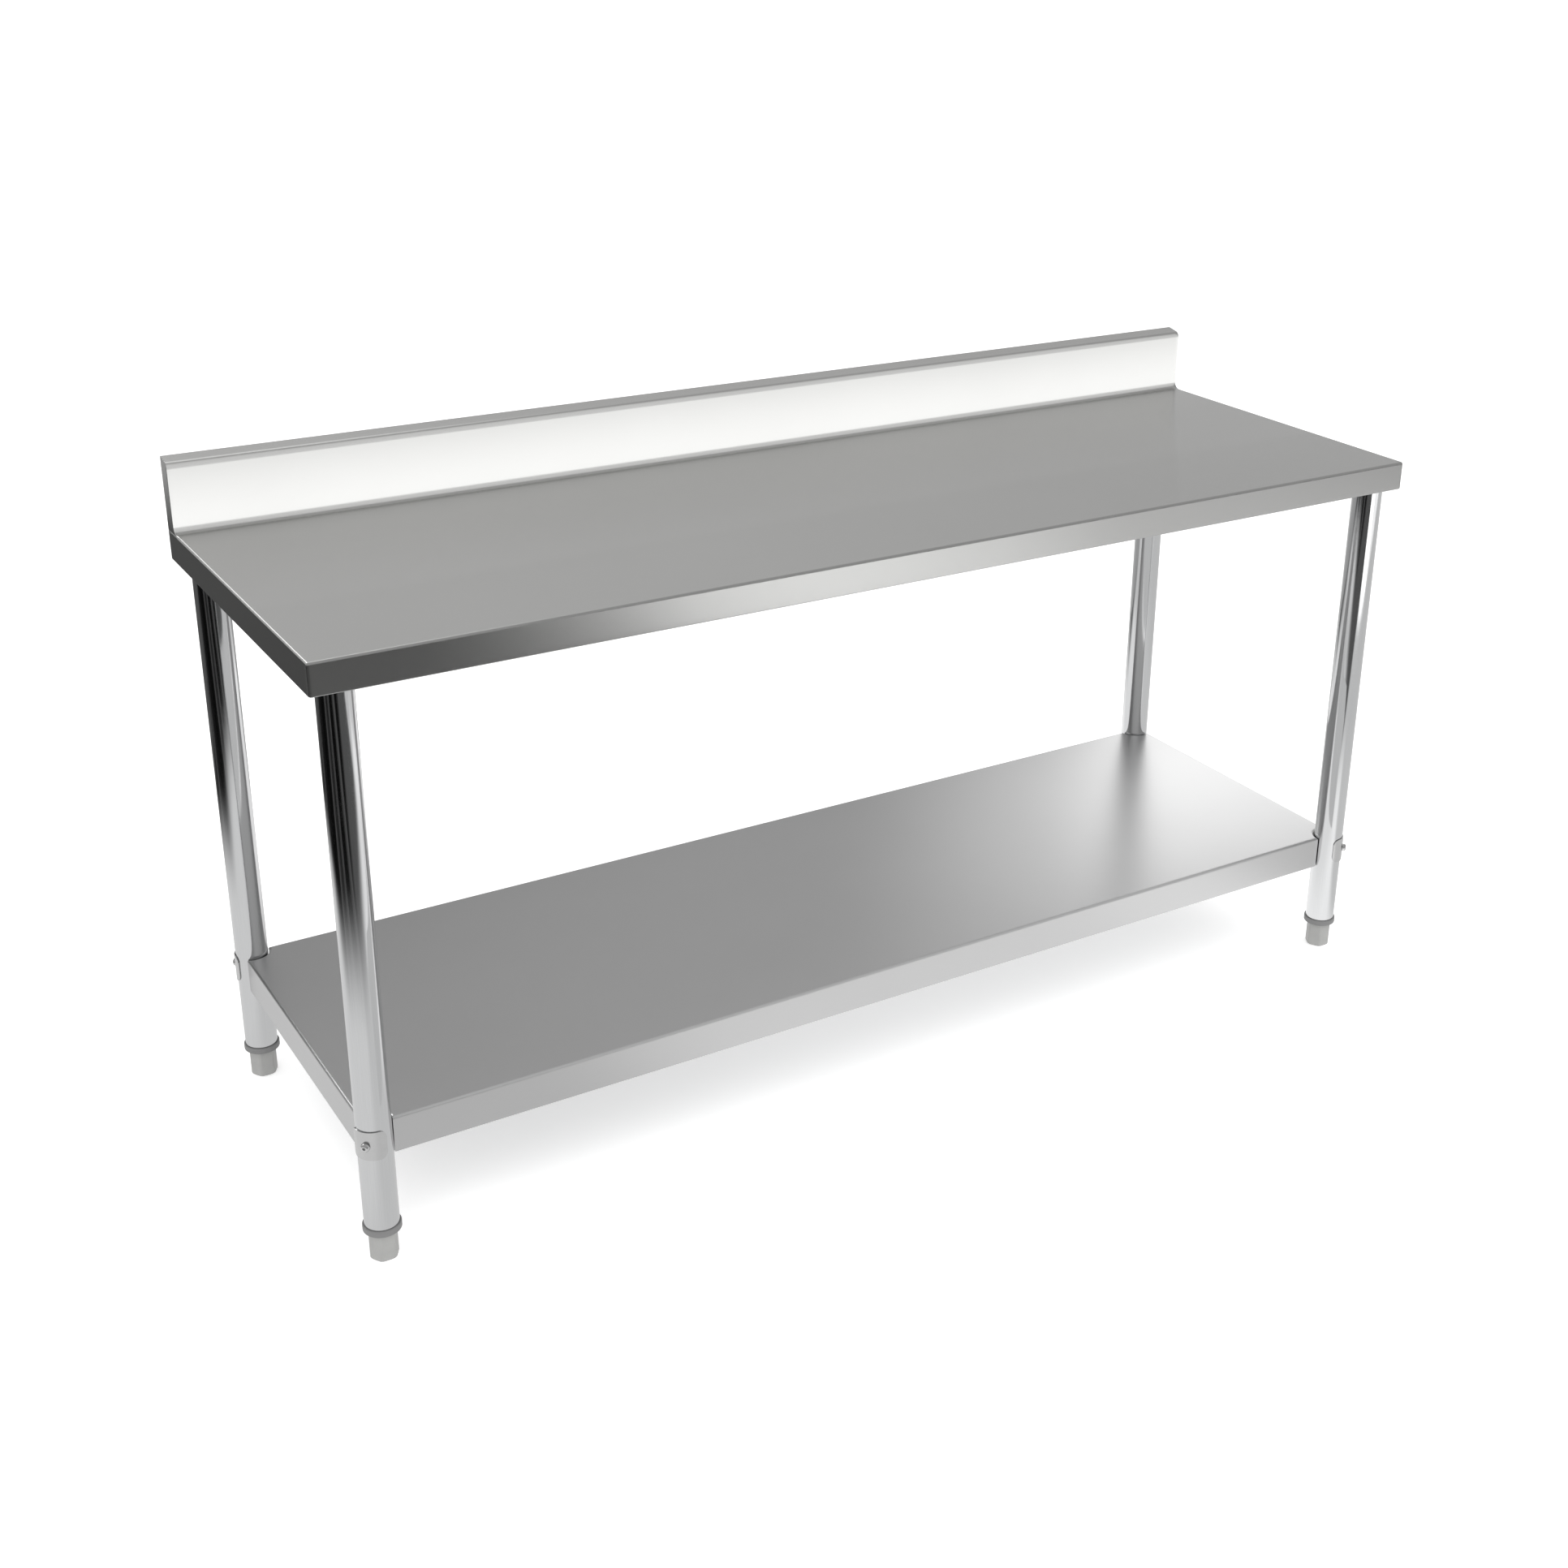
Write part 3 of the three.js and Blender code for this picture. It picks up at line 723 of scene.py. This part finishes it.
RING = 48
BOLT_RADIUS = 3 * MM
BOLT_HEAD = 6.5 * MM
BOLT_RIM = 1.6 * MM
BOLT_HEIGHT = 5.5 * MM
BOLT_CROWN = 3 * MM
BOLT_KEY = 4 * MM
BOLT_KEY_DEPTH = 3 * MM
BOLT_KEY_EDGE = (0.3 * MM, 0.2 * MM)
BOLT_TAIL = 3 * MM              # past the nut
BOLT_POINT = 0.8 * MM           # chamfer at the tail
BOLT_UNDERCUT = 0.4 * MM        # edge under the head, and the run-out of the thread
BOLT_THREAD = (0.35 * MM, 1 * MM, 18 * MM)      # depth, pitch and length
NUT_FLATS = 10 * MM
NUT_THICK = 5 * MM
NUT_CHAMFER = (1.1 * MM, 0.7 * MM)              # inward and along the bolt
NUT_BORE_EDGE = (0.4 * MM, 0.3 * MM)
NUT_CLEARANCE = 0.1 * MM
NUT_START = -(NOTCH + SHEET + GAP + NUT_THICK)  # along the bolt from the leg's axis


def clip_bolt(corner, sx, sy):
    """Button-head bolt with a hexagon socket, threaded towards its tail."""
    at = leg_axis(corner) + Vector((0, 0, centre(f"clip_bolt_{corner}").z))
    face = tube_radius(corner) + 2 * GAP + CLIP_SHEET
    top = face + BOLT_HEIGHT
    tip = NUT_START - BOLT_TAIL
    depth, pitch, length = BOLT_THREAD
    rings = circles(RING, (POLE, tip), (BOLT_RADIUS - BOLT_POINT, tip))
    rings += threaded_rings(BOLT_RADIUS, depth, pitch, tip + BOLT_POINT, tip + length, RING)
    rings += circles(RING, (BOLT_RADIUS, tip + length + BOLT_UNDERCUT), (BOLT_RADIUS, face),
                     (BOLT_HEAD - BOLT_UNDERCUT, face), (BOLT_HEAD, face + BOLT_UNDERCUT))
    dome, rise = BOLT_HEAD - BOLT_CROWN, BOLT_HEIGHT - BOLT_RIM
    rings += circles(RING, *((BOLT_CROWN + dome * math.cos(a), face + BOLT_RIM + rise * math.sin(a))
                             for a in arc(0, 90, PROFILE_STEPS)))
    wider, lower = BOLT_KEY_EDGE
    rings += [hexagon_ring(BOLT_KEY + wider, RING, top), hexagon_ring(BOLT_KEY, RING, top - lower)]
    rings += [hexagon_ring(BOLT_KEY, RING, top - BOLT_KEY_DEPTH)]
    rings += circles(RING, (POLE, top - BOLT_KEY_DEPTH))
    obj = mesh_object(f"bolt_{corner}", *placed(loft(rings), at, outward(sx, sy)), smooth=38)
    add_piece(obj, bolt_steel, "table", "bolt", f"clip_bolt_{corner}")


def within_circle(ring, limit):
    """The ring with every point no further than `limit` from the axis."""
    return [polar(min(limit, v.xy.length), math.atan2(v.y, v.x), v.z) for v in ring]


def clip_nut(corner, sx, sy):
    """Hexagon nut, chamfered on both faces, with a chamfered bore."""
    at = leg_axis(corner) + Vector((0, 0, centre(f"clip_nut_{corner}").z))
    inward, along = NUT_CHAMFER
    across = NUT_FLATS / math.sqrt(3)
    rings = []
    for share in spaced(0.0, 1.0, 4):
        ring = hexagon_ring(NUT_FLATS, RING, NUT_START + along * share)
        rings.append(within_circle(ring, across - inward * (1 - share)))
    rings += [[Vector((v.x, v.y, 2 * NUT_START + NUT_THICK - v.z)) for v in ring] for ring in reversed(rings)]
    bore = BOLT_RADIUS + NUT_CLEARANCE
    wider, deeper = NUT_BORE_EDGE
    end = NUT_START + NUT_THICK
    rings = circles(RING, (bore, NUT_START + deeper), (bore + wider, NUT_START)) + rings
    rings += circles(RING, (bore + wider, end), (bore, end - deeper), (bore, NUT_START + deeper))
    tube = loft(rings, cap_first=False, cap_last=False)
    obj = mesh_object(f"nut_{corner}", *placed(tube, at, outward(sx, sy)), smooth=30)
    add_piece(obj, zinc, "table", "nut", f"clip_nut_{corner}")


# ---- Levelling feet ----------------------------------------------------------------

STUD_BORE = 5.3 * MM
PLUG_SIDES = 72
PLUG_LEAD_IN = (2 * MM, 3 * MM)
PLUG_EDGES = {"bore": 0.4 * MM, "sole": 1.6 * MM, "shoulder": 1.4 * MM, "insert": 0.5 * MM}


def plug_ring(corner):
    """Plug in the lower end of the tube: a flange with soft edges, and an insert with a lead-in."""
    low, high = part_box(f"foot_plug_{corner}")
    tube_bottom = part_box(f"leg_{corner}")[0].z
    flange = (high.x - low.x) / 2
    insert = tube_radius(corner) - SHEET - GAP
    shoulder = tube_bottom - GAP
    inward, down = PLUG_LEAD_IN
    edge = PLUG_EDGES
    profile = rounded_profile([
        (STUD_BORE, low.z, edge["bore"]), (flange, low.z, edge["sole"]),
        (flange, shoulder, edge["shoulder"]), (insert, shoulder, 0),
        (insert, high.z - down, edge["insert"]), (insert - inward, high.z, edge["insert"]),
        (STUD_BORE, high.z, edge["bore"]),
    ], steps=5)
    obj = mesh_object(f"plug_{corner}", *revolved(profile, PLUG_SIDES, leg_axis(corner)), smooth=35)
    weighted(obj)
    add_piece(obj, plug_plastic, "table", "plug", f"foot_plug_{corner}")


FOOT_FLATS = 36 * MM
FOOT_CHAMFER = 1.5 * MM
FOOT_EDGE = 1.2 * MM
FOOT_SIDES = 144
FOOT_SOLE = (0.8 * MM, 0.25 * MM)       # first small step at the sole: inward and up
FOOT_CORNER = 0.9 * MM                  # how far the upright corners are blunted
FOOT_RECESS = (11 * MM, 0.8 * MM, 0.9 * MM)     # radius, taper and depth under the sole
FOOT_TOP_CORNERS = 1.6                  # the top's corners are rounder than its edges by this
FOOT_SIDE_ROWS = (0.35, 0.6, 0.85)      # heights of the rows up the sides, as shares of the whole
FOOT_INSIDE = 0.001 * MM                # keeps the top's corners off the flats
FOOT_BORE_EDGE = 0.8 * MM
FOOT_BORE_BOTTOM = 8.7 * MM


def hex_foot(corner):
    """Hexagonal foot with blunted corners at the sole, softened edges and a shallow recess underneath."""
    low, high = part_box(f"foot_{corner}")
    height = high.z - low.z
    across = FOOT_FLATS / math.sqrt(3)
    inward, up = FOOT_SOLE
    narrow = across - FOOT_CHAMFER
    levels = [(narrow - inward, 0.0), (narrow, up)]
    levels += [(narrow + FOOT_CHAMFER * s, up + FOOT_CHAMFER * s) for s in spaced(0.25, 1.0, 3)]
    levels += [(across, height * s) for s in FOOT_SIDE_ROWS]
    for a in arc(0, 90, 5):
        limit = across - FOOT_EDGE * (1 - math.cos(a)) * FOOT_TOP_CORNERS - FOOT_INSIDE
        levels.append((limit, height - FOOT_EDGE * (1 - math.sin(a))))
    recess, taper, depth = FOOT_RECESS
    rings = circles(FOOT_SIDES, (POLE, depth), (recess - taper, depth), (recess, 0.0))
    for limit, z in levels:
        top_inset = max(0.0, z - (height - FOOT_EDGE))
        flats = FOOT_FLATS - 2 * (FOOT_EDGE - math.sqrt(max(0.0, FOOT_EDGE ** 2 - top_inset ** 2)))
        rings.append(within_circle(hexagon_ring(flats, FOOT_SIDES, z, FOOT_CORNER), limit))
    rings += circles(FOOT_SIDES, (STUD_BORE + FOOT_BORE_EDGE, height), (STUD_BORE, height - FOOT_BORE_EDGE),
                     (STUD_BORE, FOOT_BORE_BOTTOM), (POLE, FOOT_BORE_BOTTOM))
    at = leg_axis(corner) + Vector((0, 0, low.z))
    obj = mesh_object(f"hex_foot_{corner}", *placed(loft(rings), at), smooth=28)
    weighted(obj)
    add_piece(obj, foot_plastic, f"sole_{corner}", "foot", f"foot_{corner}")


STUD_SIDES = 32
STUD_THREAD = (0.7 * MM, 1.5 * MM)      # depth and pitch
STUD_POINT = (1 * MM, 0.6 * MM)         # lower chamfer: inward and along
STUD_TOP = (1.4 * MM, 0.8 * MM)         # upper chamfer


def stud(corner):
    """Threaded stud between foot and plug."""
    low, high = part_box(f"foot_stud_{corner}")
    radius = (high.x - low.x) / 2
    depth, pitch = STUD_THREAD
    start, end = low.z + STUD_POINT[1], high.z - STUD_TOP[1]
    rings = circles(STUD_SIDES, (POLE, low.z), (radius - STUD_POINT[0], low.z))
    rings += threaded_rings(radius, depth, pitch, start, end, STUD_SIDES, steps=6)
    rings += circles(STUD_SIDES, (radius - STUD_TOP[0], high.z), (POLE, high.z))
    obj = mesh_object(f"threaded_stud_{corner}", *placed(loft(rings), leg_axis(corner)), smooth=60)
    add_piece(obj, zinc, f"stud_{corner}", "stud", f"foot_stud_{corner}")


# ---- Pieces under the worktop --------------------------------------------------------

KEPT_EDGE = 0.4 * MM


def carried(node, mat):
    """A CAD node kept as it is, with softened edges and a finished material."""
    obj = frame["nodes"][node]
    obj.data.materials.clear()
    obj.data.materials.append(mat)
    bevel(obj, KEPT_EDGE, angle=30)


SOCKET_WALL = 3 * MM            # of the cup, and of the plate
WELD_RADIUS = 2.2 * MM
WELD_OFFSET = 0.4 * MM          # of the bead's middle from the corner it fills
WELD_RIPPLES = ((0.12, 30), (0.05, 7))      # share of the radius, and how many round the leg
WELD_STEPS = 120
WELD_SIDES = 10


def weld_bead(corner):
    """Lumpy bead between the leg socket and its plate."""
    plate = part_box(f"leg_socket_{corner}")[1].z - SOCKET_WALL
    reach = tube_radius(corner) + SOCKET_WALL + WELD_OFFSET
    rows = []
    for i in range(WELD_STEPS):
        a = 2 * math.pi * i / WELD_STEPS
        size = WELD_RADIUS * (1 + sum(share * math.sin(a * count) for share, count in WELD_RIPPLES))
        middle = leg_axis(corner) + polar(reach, a, plate - WELD_OFFSET)
        rows.append([middle + polar(size * math.cos(b), a, size * math.sin(b))
                     for b in (2 * math.pi * k / WELD_SIDES for k in range(WELD_SIDES))])
    rows.append(rows[0])
    obj = mesh_object(f"socket_weld_{corner}", *grid(rows, closed=True), smooth=60)
    add_piece(obj, zinc, "table", "socket")


worktop_sheet()
shelf_tray()
for side, name in ((-1, "left"), (1, "right")):
    splash_end(side, name)
    carried(f"worktop_cross_channel_{name}", galvanised)
for name in ("front", "rear"):
    carried(f"worktop_channel_{name}", galvanised)
    carried(f"shelf_channel_{name}", galvanised)
for corner, sx, sy in CORNERS:
    leg_tube(corner)
    shelf_clip(corner, sx, sy)
    clip_bolt(corner, sx, sy)
    clip_nut(corner, sx, sy)
    plug_ring(corner)
    stud(corner)
    hex_foot(corner)
    weld_bead(corner)
    carried(f"leg_socket_{corner}", galvanised)
    carried(f"socket_screw_{corner}", zinc)


# ---- Studio ------------------------------------------------------------------------
#
# The camera and diffuse light see a pale floor in a white room. What the metal mirrors is
# laid out apart from that, on objects that only reflections see. Its brightness is given as
# rows of (from, to, value before, value after) along one axis, in metres; rows add up.

FLOOR_SIZE = 60.0
FLOOR_HEIGHT = -0.5 * MM
FLOOR_GLOW = 0.35
FLOOR_GREYS = ((0.86, 0.86, 0.86), (0.88, 0.88, 0.88))
MIRRORED_FLOOR_HEIGHT = -1 * MM

# White paper under the table, a darker place to its right, and how far round it the paper reaches.
PAPER_ROWS = (
    (-1.05, -0.80, 0.80, 0.69), (-0.5, -0.2, 0.0, 0.28), (0.45, 0.80, 0.0, 0.18), (0.85, 1.05, 0.0, -0.43),
)
PAPER_EDGE = (0.55, 1.10)
# What the front apron mirrors, in front of y = CARDS_Y: dark, then a white card, then a paler one.
CARD_ROWS = (
    (-0.1, 0.4, 0.10, 0.08), (0.54, 0.58, 0.0, 1.66), (0.58, 1.1, 0.0, 0.47), (1.79, 1.85, 0.0, -0.95),
)
CARDS_X = (-0.7, -0.4)
CARDS_Y = (-2.15, -2.0)
# The room beyond: nearly black to the left and in front, grey to the right and far behind.
DARK = 0.10
DARK_LEFT = (-1.15, -0.75)
DARK_FRONT = (1.0, 1.6)
BLACK = 0.004
STREAKS = (0.48, 0.66, 0.0, 0.14)
STREAKS_ROUND = 5.0
RIGHT_SIDE = (0.42, 0.60, 0.0, 0.56)
FAR_BEHIND = (3.7, 4.5, 0.0, 0.42)
ROOM_EDGE = (3.4, 4.0)
OUTSIDE = 0.03

# Card behind the table, mirrored by the undershelf: grey on the left, white on the right, less
# so low down. Past the table's left end it is dark, for the apron and the end cap there.
REAR_CARD_X = (-1.5, 3.4)
REAR_CARD_Y = 0.8
REAR_CARD_Z = (0.25, 0.95)
REAR_GREY = (-0.7, 0.2, 0.34, 0.41)
REAR_WHITE_ROWS = ((0.50, 1.10, 0.0, 0.55), (1.05, 1.35, 0.0, 0.90))
REAR_WHITE_BY_HEIGHT = (0.42, 0.62, 0.45, 1.0)
REAR_DARK_EDGE = (-0.98, -0.85)
REAR_DARK_BY_HEIGHT = (0.70, 0.84, 0.10, 0.50)

# Cards at the upstand and at the front bend of the undershelf.
CARD_LIFT = 1 * MM
CARD_REACH = 0.36
CARD_HEIGHT = 1.2
CARD_PAST_LEFT = 0.1
CARD_PAST_RIGHT = 0.6
PAPER_LIGHT = 1.75
GREY_LIGHT = 0.9
SHELF_CARD_HALF = 0.82
SHELF_CARD_LIGHT = 0.62
SHELF_CARD_PROFILE = (      # (y from the front, z from the shelf's top), up and leaning back over it
    (-0.04, -0.005), (-0.04, 0.10), (-0.04, 0.20), (-0.02, 0.27), (0.04, 0.32), (0.16, 0.34),
)

# The sky: darker in front than behind, with soft round cards (azimuth from +Y towards +X and
# elevation, then full inside one angle and gone past another, all in degrees; strength).
SKY = (-0.15, 0.35, 0.04, 0.74)
SKY_CARDS = ((20, 66, 8, 18, 0.9), (-20, 38, 8, 14, 4.5), (58, 17, 8, 30, -0.07))
SECOND_LOOK_LEAST = 0.5
ROOM_WHITE = 1.45


def mirrored_only(obj):
    """Seen in reflections, and by nothing else."""
    obj.visible_camera = False
    obj.visible_diffuse = False
    obj.visible_transmission = False
    obj.visible_shadow = False


def stage_grid(name, xs, rows, facing):
    """A stage surface through rows of (y, z), each as wide as `xs`, facing one way."""
    obj = mesh_object(name, *grid([[Vector((x, y, z)) for x in xs] for y, z in rows]))
    face_towards(obj, facing)
    return obj


def floor_grid(name, height):
    edges = spaced(-FLOOR_SIZE / 2, FLOOR_SIZE / 2, 12)
    return stage_grid(name, edges, [(y, height) for y in edges], (0, 0, 1))


def shine(obj, light, clear_behind=False):
    """Gives a stage surface that only reflections see its brightness, by light(n, x, y, z)."""
    mat = bpy.data.materials.new(obj.name)
    mat.use_nodes = True
    mat.node_tree.nodes.clear()
    n = Nodes(mat.node_tree)
    place = n.new("ShaderNodeSeparateXYZ", {0: n.new("ShaderNodeTexCoord").outputs["Object"]}).outputs
    surface = n.new("ShaderNodeEmission", {"Strength": light(n, place[0], place[1], place[2])})
    if clear_behind:
        back = n.new("ShaderNodeNewGeometry").outputs["Backfacing"]
        clear = n.new("ShaderNodeBsdfTransparent")
        surface = n.new("ShaderNodeMixShader", {0: back, 1: surface.outputs[0], 2: clear.outputs[0]})
    n.new("ShaderNodeOutputMaterial", {0: surface.outputs[0]})
    obj.data.materials.append(mat)
    mirrored_only(obj)


def pale_floor():
    obj = floor_grid("floor", FLOOR_HEIGHT)
    mat, n, shader, place = material("pale_floor")
    tone = n.noise(place, scale=1.3, detail=3.0, rough=0.5)
    connect(n, shader, Base_Color=n.tint(tone, *FLOOR_GREYS))
    shader.inputs["Roughness"].default_value = 0.9
    shader.inputs["Specular IOR Level"].default_value = 0.1
    shader.inputs["Emission Color"].default_value = (1, 1, 1, 1)
    shader.inputs["Emission Strength"].default_value = FLOOR_GLOW
    obj.data.materials.append(mat)
    obj.visible_glossy = False


def floor_light(n, x, y, z):
    """Paper near the table; beyond it the cards, the dark side with faint streaks, and the room."""
    beyond_x = n.math("MAXIMUM", n.math("SUBTRACT", n.math("ABSOLUTE", x), HALF_W), 0.0)
    beyond_y = n.math("MAXIMUM", n.math("SUBTRACT", n.math("ABSOLUTE", y), HALF_D), 0.0)
    squares = n.math("ADD", n.math("MULTIPLY", beyond_x, beyond_x), n.math("MULTIPLY", beyond_y, beyond_y))
    away = n.math("SQRT", squares)
    fan = n.math("MULTIPLY", n.math("ARCTAN2", y, x), STREAKS_ROUND)
    fan = n.new("ShaderNodeCombineXYZ", {0: fan}).outputs[0]
    streaks = n.noise(fan, scale=1.0, detail=2.0, rough=0.6)
    black = n.math("ADD", BLACK, n.ramp(streaks, *STREAKS))
    blackness = n.math("MULTIPLY", n.ramp(x, *DARK_LEFT, 1.0, 0.0), n.ramp(y, *DARK_FRONT, 1.0, 0.0))
    room = n.math("ADD", n.mixed(blackness, DARK, black), n.ramp(x, *RIGHT_SIDE))
    room = n.math("MAXIMUM", room, n.ramp(y, *FAR_BEHIND))
    at_cards = n.math("MULTIPLY", n.ramp(y, *CARDS_Y, 1.0, 0.0), n.ramp(x, *CARDS_X))
    room = n.mixed(at_cards, room, n.steps(x, CARD_ROWS))
    room = n.mixed(n.ramp(away, *ROOM_EDGE), room, OUTSIDE)
    return n.mixed(n.ramp(away, *PAPER_EDGE), n.steps(x, PAPER_ROWS), room)


def rear_light(n, x, y, z):
    white = n.math("MULTIPLY", n.steps(x, REAR_WHITE_ROWS), n.ramp(z, *REAR_WHITE_BY_HEIGHT))
    shelf = n.math("ADD", n.ramp(x, *REAR_GREY), white)
    return n.mixed(n.ramp(x, *REAR_DARK_EDGE), n.ramp(z, *REAR_DARK_BY_HEIGHT), shelf)


def mirrored_cards():
    """The floor, the rear card and the cards close to the table, as reflections see them."""
    shine(floor_grid("reflected_floor", MIRRORED_FLOOR_HEIGHT), floor_light)

    rows = [(REAR_CARD_Y, z) for z in spaced(*REAR_CARD_Z, 3)]
    shine(stage_grid("rear_card", spaced(*REAR_CARD_X, 12), rows, (0, -1, 0)), rear_light)

    # White paper lying in front of the upstand, and a grey card standing behind the paper.
    xs = spaced(-HALF_W - CARD_PAST_LEFT, HALF_W + CARD_PAST_RIGHT, 12)
    low, reach = WORKTOP + CARD_LIFT, SPLASH_FRONT - CARD_REACH
    rows = [(y, low) for y in spaced(COVE_START, reach, 6)]
    shine(stage_grid("paper_card", xs, rows, (0, 0, 1)), lambda n, x, y, z: PAPER_LIGHT, True)
    rows = [(reach, z) for z in spaced(low, WORKTOP + CARD_HEIGHT, 6)]
    shine(stage_grid("grey_card", xs, rows, (0, 1, 0)), lambda n, x, y, z: GREY_LIGHT, True)

    rows = [(y - HALF_D, SHELF_TOP + z) for y, z in SHELF_CARD_PROFILE]
    card = stage_grid("shelf_card", spaced(-SHELF_CARD_HALF, SHELF_CARD_HALF, 12), rows, (0, 1, 0))
    shine(card, lambda n, x, y, z: SHELF_CARD_LIGHT, True)


def room_light():
    """White for the camera and for diffuse light; a soft room of cards for reflections."""
    world = bpy.data.worlds.new("studio")
    bpy.context.scene.world = world
    world.use_nodes = True
    world.node_tree.nodes.clear()
    n = Nodes(world.node_tree)
    direction = n.new("ShaderNodeTexCoord").outputs["Generated"]
    value = n.ramp(n.new("ShaderNodeSeparateXYZ", {0: direction}).outputs[1], *SKY)
    for azimuth, elevation, inner, outer, strength in SKY_CARDS:
        a, e = math.radians(azimuth), math.radians(elevation)
        aim = (math.sin(a) * math.cos(e), math.cos(a) * math.cos(e), math.sin(e))
        dot = n.new("ShaderNodeVectorMath", {0: direction, 1: aim}, operation="DOT_PRODUCT").outputs["Value"]
        card = n.ramp(dot, math.cos(math.radians(outer)), math.cos(math.radians(inner)), 0.0, strength)
        value = n.math("ADD", value, card)
    # The dark front of the room is left out of what has already been mirrored once.
    path = n.new("ShaderNodeLightPath").outputs
    later = n.math("GREATER_THAN", path["Ray Depth"], 1.5)
    value = n.mixed(later, value, n.math("MAXIMUM", value, SECOND_LOOK_LEAST))
    mirrored = n.new("ShaderNodeBackground", {"Strength": value})
    white = n.new("ShaderNodeBackground", {"Strength": ROOM_WHITE})
    seen = {0: path["Is Glossy Ray"], 1: white.outputs[0], 2: mirrored.outputs[0]}
    mixed = n.new("ShaderNodeMixShader", seen)
    n.new("ShaderNodeOutputWorld", {0: mixed.outputs[0]})
    # Light sampling would show the white to glossy surfaces too.
    world.cycles.sampling_method = "NONE"


SOFTBOX_SIZE = 2.5
SOFTBOX_TARGET = Vector((0, 0, 0.5))


def softbox(name, place, watts):
    """Large square lamp aimed at the table, left out of reflections."""
    lamp = bpy.data.lights.new(name, "AREA")
    lamp.shape = "RECTANGLE"
    lamp.size = SOFTBOX_SIZE
    lamp.size_y = SOFTBOX_SIZE
    lamp.energy = watts
    obj = bpy.data.objects.new(name, lamp)
    bpy.context.scene.collection.objects.link(obj)
    obj.location = place
    obj.rotation_euler = (SOFTBOX_TARGET - Vector(place)).to_track_quat("-Z", "Y").to_euler()
    obj.visible_glossy = False


CAMERA_PLACE = Vector((-1.5586, -2.5626, 1.7721))
CAMERA_YAW, CAMERA_PITCH, CAMERA_ROLL = -32.762, -22.602, 1.083
VIEW_RANGE = (0.05, 200)
LENS = 47.44
SENSOR = 36.0
SHIFT = (-0.0584, -0.0458)


def camera():
    """Camera at the photograph's viewing angle."""
    data = bpy.data.cameras.new("camera")
    data.sensor_width = SENSOR
    data.lens = LENS
    data.shift_x, data.shift_y = SHIFT
    data.clip_start, data.clip_end = VIEW_RANGE
    obj = bpy.data.objects.new("camera", data)
    bpy.context.scene.collection.objects.link(obj)
    yaw, pitch, roll = (math.radians(v) for v in (CAMERA_YAW, CAMERA_PITCH, CAMERA_ROLL))
    ahead = Vector((-math.sin(yaw) * math.cos(pitch), math.cos(yaw) * math.cos(pitch), math.sin(pitch)))
    right = ahead.cross(Vector((0, 0, 1))).normalized()
    above = right.cross(ahead)
    x_axis = right * math.cos(roll) + above * math.sin(roll)
    y_axis = above * math.cos(roll) - right * math.sin(roll)
    turn = Matrix((x_axis, y_axis, -ahead)).transposed()
    obj.matrix_world = Matrix.Translation(CAMERA_PLACE) @ turn.to_4x4()
    bpy.context.scene.camera = obj


pale_floor()
mirrored_cards()
room_light()
softbox("key", (-2.0, -2.5, 3.6), 40)
softbox("fill", (2.6, -1.6, 3.2), 30)
camera()
bpy.context.scene.view_settings.view_transform = "Standard"
